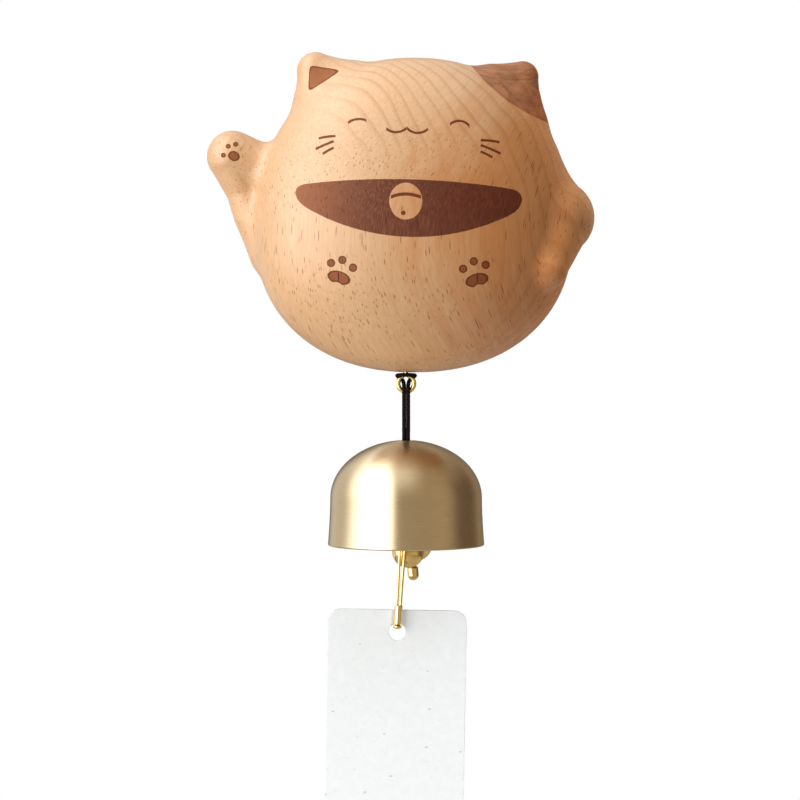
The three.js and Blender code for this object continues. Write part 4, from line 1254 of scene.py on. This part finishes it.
# Paler toward the bib's left end: partly a lighter burn, partly a painted sheen from the lamps on the left
left_sheen_and_paler_burn = add(tree, "MapRange", [x, -28.0, -4.0, 0.82, 0.0], **SOFT)
pale = add(tree, "Math:MULTIPLY", [add(tree, "Math:MAXIMUM", [pale, left_sheen_and_paler_burn]), shares[0]])
pale_burn_and_sheen = add(tree, "Mix", {0: 1.0, 6: wood, 7: BIB_PALE_BURN_AND_SHEEN}, **STAIN)
grained = add(tree, "Mix", {0: pale, 6: grained, 7: pale_burn_and_sheen}, **BLEND)
drawn = add(tree, "Mapping", {"Vector": in_mm, "Rotation": (0, 0.5, 0), "Scale": (0.09, 0.3, 0.55)})
swirl = add(tree, "TexNoise", {"Vector": drawn, "Scale": 1.0, "Detail": 4.0, "Distortion": 1.2})
darker = add(tree, "MapRange", [swirl, 0.4, 0.65, 0.0, 0.6])
darker = add(tree, "Math:MULTIPLY", [darker, shares[4]])
deep_burn = add(tree, "Mix", {0: 1.0, 6: wood, 7: EAR_DARK_STAIN}, **STAIN)
grained = add(tree, "Mix", {0: darker, 6: grained, 7: deep_burn}, **BLEND)

# %% [markdown]
# The pores are dark and a little sunk. Oil and wax give the plain wood a soft gloss, and the burnt
# wood is matt.

# %% Pores and gloss of the wood
any_mark = shares[0]
for share in shares[1:]:
    any_mark = add(tree, "Math:MAXIMUM", [any_mark, share])
filled = add(tree, "Math:MULTIPLY", [pore, 0.9])
dark_pores = add(tree, "Mix", {0: filled, 6: grained, 7: PORE_STAIN}, **STAIN)
shallow = add(tree, "Math:MULTIPLY", [pore, 0.5])
sunk = add(tree, "Math:SUBTRACT", [1.0, add(tree, "Math:MAXIMUM", [shallow, any_mark])])
relief = add(tree, "Bump", {"Strength": 0.6, "Distance": 0.06 * MM, "Height": sunk})
rough = add(tree, "MapRange", [any_mark, 0.0, 1.0, 0.44, 0.75])
wax = add(tree, "Math:MULTIPLY", [add(tree, "Math:SUBTRACT", [1.0, any_mark]), 0.5])
surface = {"Base Color": dark_pores, "Roughness": rough, "IOR": 1.5, "Normal": relief}
oiled = {"Coat Weight": wax, "Coat Roughness": 0.35}
add(tree, "OutputMaterial", [add(tree, "BsdfPrincipled", {**surface, **oiled})])
cat.data.materials.append(beech)
print(beech.name, len(tree.nodes), "nodes")

# %% [markdown]
# ## Metals
# Polished brass is a clean yellow mirror, with faint drawing marks.


# %% Polished brass
def brass_polished():
    """Clouds of noise make it a little duller here and there, and fine noise stands for scratches."""
    material, tree, in_mm = new_material("brass_polished")
    dull = add(tree, "TexNoise", {"Vector": in_mm, "Scale": 0.9, "Detail": 4.0})
    tone = add(tree, "ValToRGB", [dull], stops=[(0.3, "#f3d894"), (0.75, "#e6c470")])
    rough = add(tree, "MapRange", [dull, 0.3, 0.7, 0.1, 0.2])
    scratch = add(tree, "TexNoise", {"Vector": in_mm, "Scale": 6.0, "Detail": 5.0})
    relief = add(tree, "Bump", {"Strength": 0.12, "Distance": 0.01 * MM, "Height": scratch})
    surface = {"Base Color": tone, "Roughness": rough, "Metallic": 1.0, "Normal": relief}
    add(tree, "OutputMaterial", [add(tree, "BsdfPrincipled", surface)])
    return material


polished = brass_polished()
for piece in BRIGHT_PIECES:
    piece.data.materials.append(polished)
print(polished.name, "on", len(BRIGHT_PIECES), "pieces")

# %% [markdown]
# The bell is brass too, but brushed while it spun, so fine rings run round it and its highlights
# smear up and down. It looks browner because it is less bright.


# %% Brushed brass
BRUSH_LINE = 0.22  # mm between the brush lines, coarser than the real ones so that they show


def brass_brushed():
    """Noise that changes with height and radius but hardly along the turn, so that its marks are
    rings."""
    material, tree, in_mm = new_material("brass_brushed_on_the_lathe")
    from_axis = add(tree, "VectorMath:SUBTRACT", [in_mm, (0, HANG_Y, 0)])
    px, py, pz = add(tree, "SeparateXYZ", [from_axis]).node.outputs
    radius = add(tree, "VectorMath:LENGTH", [add(tree, "CombineXYZ", [px, py, 0.0])], out=1)
    along_turn = add(tree, "VectorMath:MULTIPLY", [from_axis, (0.05, 0.05, 0.0)])
    down_profile = add(tree, "CombineXYZ", [0.0, 0.0, add(tree, "Math:SUBTRACT", [pz, radius])])
    unrolled = add(tree, "VectorMath:ADD", [along_turn, down_profile])
    rings = add(tree, "TexNoise", {"Vector": unrolled, "Scale": 1 / BRUSH_LINE, "Detail": 3.0})
    cloud = add(tree, "TexNoise", {"Vector": in_mm, "Scale": 0.12, "Detail": 2.0})
    brushed = add(tree, "MapRange", [rings, 0.3, 0.7, 0.0, 0.5])
    tone = add(tree, "Mix", {0: brushed, 6: linear("#d2bd97"), 7: linear("#c6b08a")}, **BLEND)
    worn = add(tree, "MapRange", [cloud, 0.4, 0.7, 0.0, 0.3])
    tone = add(tree, "Mix", {0: worn, 6: tone, 7: linear("#cab48c")}, **BLEND)
    rough = add(tree, "MapRange", [rings, 0.3, 0.7, 0.27, 0.36])
    relief = add(tree, "Bump", {"Strength": 0.25, "Distance": 0.015 * MM, "Height": rings})
    around = add(tree, "Tangent", direction_type="RADIAL", axis="Z")
    surface = {"Base Color": tone, "Roughness": rough, "Metallic": 1.0, "Normal": relief}
    smeared = {"Anisotropic": 0.85, "Anisotropic Rotation": 0.25, "Tangent": around}
    add(tree, "OutputMaterial", [add(tree, "BsdfPrincipled", {**surface, **smeared})])
    return material


bell.data.materials.append(brass_brushed())
print("bell", bell.data.materials[0].name)


# %% [markdown]
# ## Cord, felt, magnets and card
# Waxed cotton is twisted from fine yarns, so its relief runs round and along at once, which its own
# length and turn give.


# %% Waxed cord
YARN_PITCH = 1.3  # mm along the cord for one turn of a yarn


def cotton_waxed():
    """Yarns in relief: the sine of 2 pi (mm along / pitch + 3 times the turn), with fluff on top."""
    material, tree, in_mm = new_material("cotton_cord_waxed_black")
    layer = add(tree, "UVMap", uv_map="length_and_turn")
    along, turned, _ = add(tree, "SeparateXYZ", [layer]).node.outputs
    turns_along = add(tree, "Math:DIVIDE", [along, YARN_PITCH])
    twist = add(tree, "Math:MULTIPLY_ADD", [turned, 3.0, turns_along])
    wave = add(tree, "Math:SINE", [add(tree, "Math:MULTIPLY", [twist, 2 * math.pi])])
    yarn = add(tree, "MapRange", [wave, -1.0, 1.0, 0.0, 1.0])
    fluff = add(tree, "TexNoise", {"Vector": in_mm, "Scale": 5.0, "Detail": 3.0})
    height = add(tree, "Math:MULTIPLY_ADD", [fluff, 0.4, yarn])
    # The crests of the yarns are coloured lighter and the grooves between them darker: painted shade in the
    # grooves
    tone = add(tree, "ValToRGB", [yarn], stops=[(0.0, "#0a0606"), (0.7, "#150e0f"), (1.0, "#1f1617")])
    relief = add(tree, "Bump", {"Strength": 0.7, "Distance": 0.08 * MM, "Height": height})
    surface = {"Base Color": tone, "Roughness": 0.8, "IOR": 1.2, "Normal": relief}
    add(tree, "OutputMaterial", [add(tree, "BsdfPrincipled", surface)])
    return material


waxed = cotton_waxed()
for piece in (cord, hitch, knot):
    piece.data.materials.append(waxed)
print(waxed.name, "with yarns", YARN_PITCH, "mm apart")

# %% [markdown]
# Felt is a mat of fibres, which scatters light at its edges. The magnets are nickel plated and sit
# unseen in the wood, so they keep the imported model's mesh.


# %% Felt and nickel
def felt_pressed():
    """Strong noise for the fibres, in the colour and in the relief."""
    material, tree, in_mm = new_material("felt_pressed_dark")
    fibres = add(tree, "TexNoise", {"Vector": in_mm, "Scale": 2.4, "Detail": 6.0, "Roughness": 0.7})
    tone = add(tree, "ValToRGB", [fibres], stops=[(0.3, "#2b2625"), (0.7, "#4a4240")])
    relief = add(tree, "Bump", {"Strength": 0.8, "Distance": 0.12 * MM, "Height": fibres})
    surface = {"Base Color": tone, "Roughness": 0.95, "Sheen Weight": 0.4, "Normal": relief}
    add(tree, "OutputMaterial", [add(tree, "BsdfPrincipled", surface)])
    return material


def nickel_plated():
    """A grey mirror with a slight haze."""
    material, tree, in_mm = new_material("nickel_plate")
    haze = add(tree, "TexNoise", {"Vector": in_mm, "Scale": 0.5, "Detail": 3.0})
    tone = add(tree, "ValToRGB", [haze], stops=[(0.3, "#c9cbcd"), (0.7, "#b4b6b8")])
    rough = add(tree, "MapRange", [haze, 0.3, 0.7, 0.15, 0.28])
    surface = {"Base Color": tone, "Roughness": rough, "Metallic": 1.0}
    add(tree, "OutputMaterial", [add(tree, "BsdfPrincipled", surface)])
    return material


pad.data.materials.append(felt_pressed())
nickel = nickel_plated()
for name in ("magnet_left", "magnet_right"):
    node = frame["nodes"][name]
    node.data.materials.clear()
    node.data.materials.append(nickel)
print(pad.data.materials[0].name, "and", nickel.name)

# %% [markdown]
# The card is white stock with a few grey and pale flecks of fibre pressed into it, and it is bare.


# %% Card stock
def card_stock():
    """Each kind of fleck is the middle of a cell of noise: spacing and size in mm, and a colour."""
    material, tree, in_mm = new_material("card_stock_white")
    pressed = add(tree, "TexNoise", {"Vector": in_mm, "Scale": 0.55, "Detail": 5.0, "Roughness": 0.65})
    tone = add(tree, "ValToRGB", [pressed], stops=[(0.3, "#d7dbdb"), (0.7, "#dddfdf")])
    drawn = add(tree, "Mapping", {"Vector": in_mm, "Rotation": (0, 0.6, 0), "Scale": (1.0, 1.0, 2.2)})
    for spacing, size, colour in ((6.5, 0.5, "#7f8887"), (3.2, 0.5, "#c9cecd")):
        nearest = add(tree, "TexVoronoi", {"Vector": drawn, "Scale": 1 / spacing}, out="Distance")
        fleck = add(tree, "MapRange", [nearest, 0.4 * size / spacing, size / spacing, 0.7, 0.0])
        tone = add(tree, "Mix", {0: fleck, 6: tone, 7: linear(colour)}, **BLEND)
    grain = add(tree, "TexNoise", {"Vector": in_mm, "Scale": 3.0, "Detail": 4.0})
    relief = add(tree, "Bump", {"Strength": 0.35, "Distance": 0.03 * MM, "Height": grain})
    surface = {"Base Color": tone, "Roughness": 0.7, "IOR": 1.45, "Normal": relief}
    add(tree, "OutputMaterial", [add(tree, "BsdfPrincipled", surface)])
    return material


card.data.materials.append(card_stock())
print("card", card.data.materials[0].name)

# %% [markdown]
# ## Studio
# The chime hangs in the open in front of white. Large soft lamps at the upper left model the round
# wood, and nothing mirrors them. The bell's broad highlight and its dark band are a window on the
# left and a dark flag on the right, both in the world, where only mirrored rays see them. The white
# behind the chime, which the camera sees, lights it only faintly.

# %% Floor
FLOOR_Z = -420.0
FLOOR_R = 900.0
floor_mesh = bpy.data.meshes.new("studio_floor")
floor_edge = arc((0, 0), FLOOR_R * MM, 0, 360, 97)[:-1]
floor_mesh.from_pydata([(u, v, 0) for u, v in floor_edge], [], [tuple(range(len(floor_edge)))])
floor = bpy.data.objects.new("studio_floor", floor_mesh)
floor.location.z = FLOOR_Z * MM
bpy.context.scene.collection.objects.link(floor)
floor_paper, tree, in_mm = new_material("studio_paper_white")
matt = {"Base Color": linear("#cdc3b9"), "Roughness": 0.9}
add(tree, "OutputMaterial", [add(tree, "BsdfPrincipled", matt)])
floor_mesh.materials.append(floor_paper)
print("floor at z", FLOOR_Z)

# %% [markdown]
# What a mirrored ray sees depends only on its direction, which is given as right, back (away from
# the viewer) and up, each from -1 to 1. Brightness 1 is the white behind the chime.

# %% The room that the brass mirrors
WINDOW_BRIGHTNESS = 3.8
FLAG_DEPTH = 0.7  # how much of the room's brightness the dark flag on the right takes away
world = bpy.data.worlds.new("studio_white")
world.use_nodes = True
tree = world.node_tree
tree.nodes.clear()
toward = add(tree, "TexCoord", out="Generated")
right, back, up = add(tree, "SeparateXYZ", [toward]).node.outputs
# The window, on the left and toward the viewer, and the room's walls
side = add(tree, "MapRange", [right, -0.48, -0.22, 1.0, 0.0], **SOFT)
depth = add(tree, "Math:MULTIPLY_ADD", [up, -0.35, back])
near = add(tree, "MapRange", [depth, -0.5, 0.35, 1.0, 0.14], **SOFT)
window = add(tree, "Math:MULTIPLY", [side, near])
room = add(tree, "Math:MULTIPLY_ADD", [right, 0.13, 0.45])
mirrored = add(tree, "Math:MULTIPLY_ADD", [window, WINDOW_BRIGHTNESS, room])
# A pale ceiling, except on the right
over = add(tree, "MapRange", [up, 0.35, 0.85, 0.0, 0.9], **SOFT)
over = add(tree, "Math:MULTIPLY", [over, add(tree, "MapRange", [right, 0.0, 0.4, 1.0, 0.0])])
mirrored = add(tree, "Math:ADD", [mirrored, over])
paleness = add(tree, "Math:SUBTRACT", [1.0, add(tree, "Math:DIVIDE", [room, mirrored])])
# Darker straight behind, and the flag on the right, soft at all its edges
behind = add(tree, "MapRange", [back, 0.78, 1.0, 1.0, 0.4])
mirrored = add(tree, "Math:MULTIPLY", [mirrored, behind])
flag = add(tree, "MapRange", [back, -0.5, 0.05, 0.0, FLAG_DEPTH], **SOFT)
for edge in (
    add(tree, "MapRange", [back, 0.4, 0.92, 1.0, 0.35], **SOFT),
    add(tree, "MapRange", [right, 0.2, 0.6, 0.0, 1.0]),
    add(tree, "MapRange", [up, 0.4, 0.8, 1.0, 0.0]),
):
    flag = add(tree, "Math:MULTIPLY", [flag, edge])
mirrored = add(tree, "Math:MULTIPLY", [mirrored, add(tree, "Math:SUBTRACT", [1.0, flag])])
print("flag takes", FLAG_DEPTH, "window", WINDOW_BRIGHTNESS)

# %% [markdown]
# The camera sees plain white. Mirrored rays see the room in the colours of what is there: a cool
# window, warm walls, and a browner flag. Everything else gets a faint, even light.

# %% What each ray sees of the world
AMBIENT = 0.08  # how much of the white lights the object from all sides
WINDOW_TINT = (0.94, 1.01, 1.14, 1)
ROOM_TINT = (1.0, 0.84, 0.64, 1)
FLAG_TINT = (1.0, 0.7, 0.53, 1)
rays = add(tree, "LightPath").node.outputs
seen = add(tree, "Math:MAXIMUM", [rays["Is Camera Ray"], rays["Is Transmission Ray"]])
mirrored = add(tree, "Math:MULTIPLY", [mirrored, rays["Is Glossy Ray"]])
strength = add(tree, "Math:MAXIMUM", [add(tree, "Math:MAXIMUM", [seen, mirrored]), AMBIENT])
tint = add(tree, "Mix", {0: flag, 6: ROOM_TINT, 7: FLAG_TINT}, **BLEND)
tint = add(tree, "Mix", {0: paleness, 6: tint, 7: WINDOW_TINT}, **BLEND)
tint = add(tree, "Mix", {0: rays["Is Glossy Ray"], 6: (1, 1, 1, 1), 7: tint}, **BLEND)
add(tree, "OutputWorld", [add(tree, "Background", [tint, strength])])
bpy.context.scene.world = world
print(world.name, len(tree.nodes), "nodes")

# %% [markdown]
# The key and the strip light the wood from the left, the rim light warms its right edge from
# behind, and the top light lifts the head. The card gets a narrow light of its own, which keeps it
# as white as in the photograph.


# %% Lights
def soft_light(name, at, aim, width, height, watts, colour=(1, 1, 1)):
    """A rectangular area light at a place in mm, pointed at another, which nothing mirrors."""
    data = bpy.data.lights.new(name, "AREA")
    data.shape = "RECTANGLE"
    data.size, data.size_y = width * MM, height * MM
    data.energy = watts
    data.color = colour
    lamp = bpy.data.objects.new(name, data)
    lamp.location = np.array(at) * MM
    lamp.rotation_euler = Vector(np.array(aim) - np.array(at)).to_track_quat("-Z", "Y").to_euler()
    lamp.visible_glossy = False
    bpy.context.scene.collection.objects.link(lamp)
    print(name, watts, "W")
    return lamp


MIDDLE = (0, HANG_Y, -40)
WARM, COOL = (1, 0.85, 0.7), (0.94, 1, 1.1)
soft_light("key", (-777, -528, 453), MIDDLE, 1250, 1300, 9.5)
soft_light("strip", (-700, -540, 0), MIDDLE, 680, 600, 4.2)
soft_light("rim_right", (700, 420, 60), MIDDLE, 300, 600, 3.0, WARM)
soft_light("top", (160, -150, 690), (0, HANG_Y, 20), 500, 500, 3.6, COOL)
fill = soft_light("card_fill", (300, -750, -330), (5, HANG_Y, -158), 200, 200, 0.068)
fill.data.spread = math.radians(13)
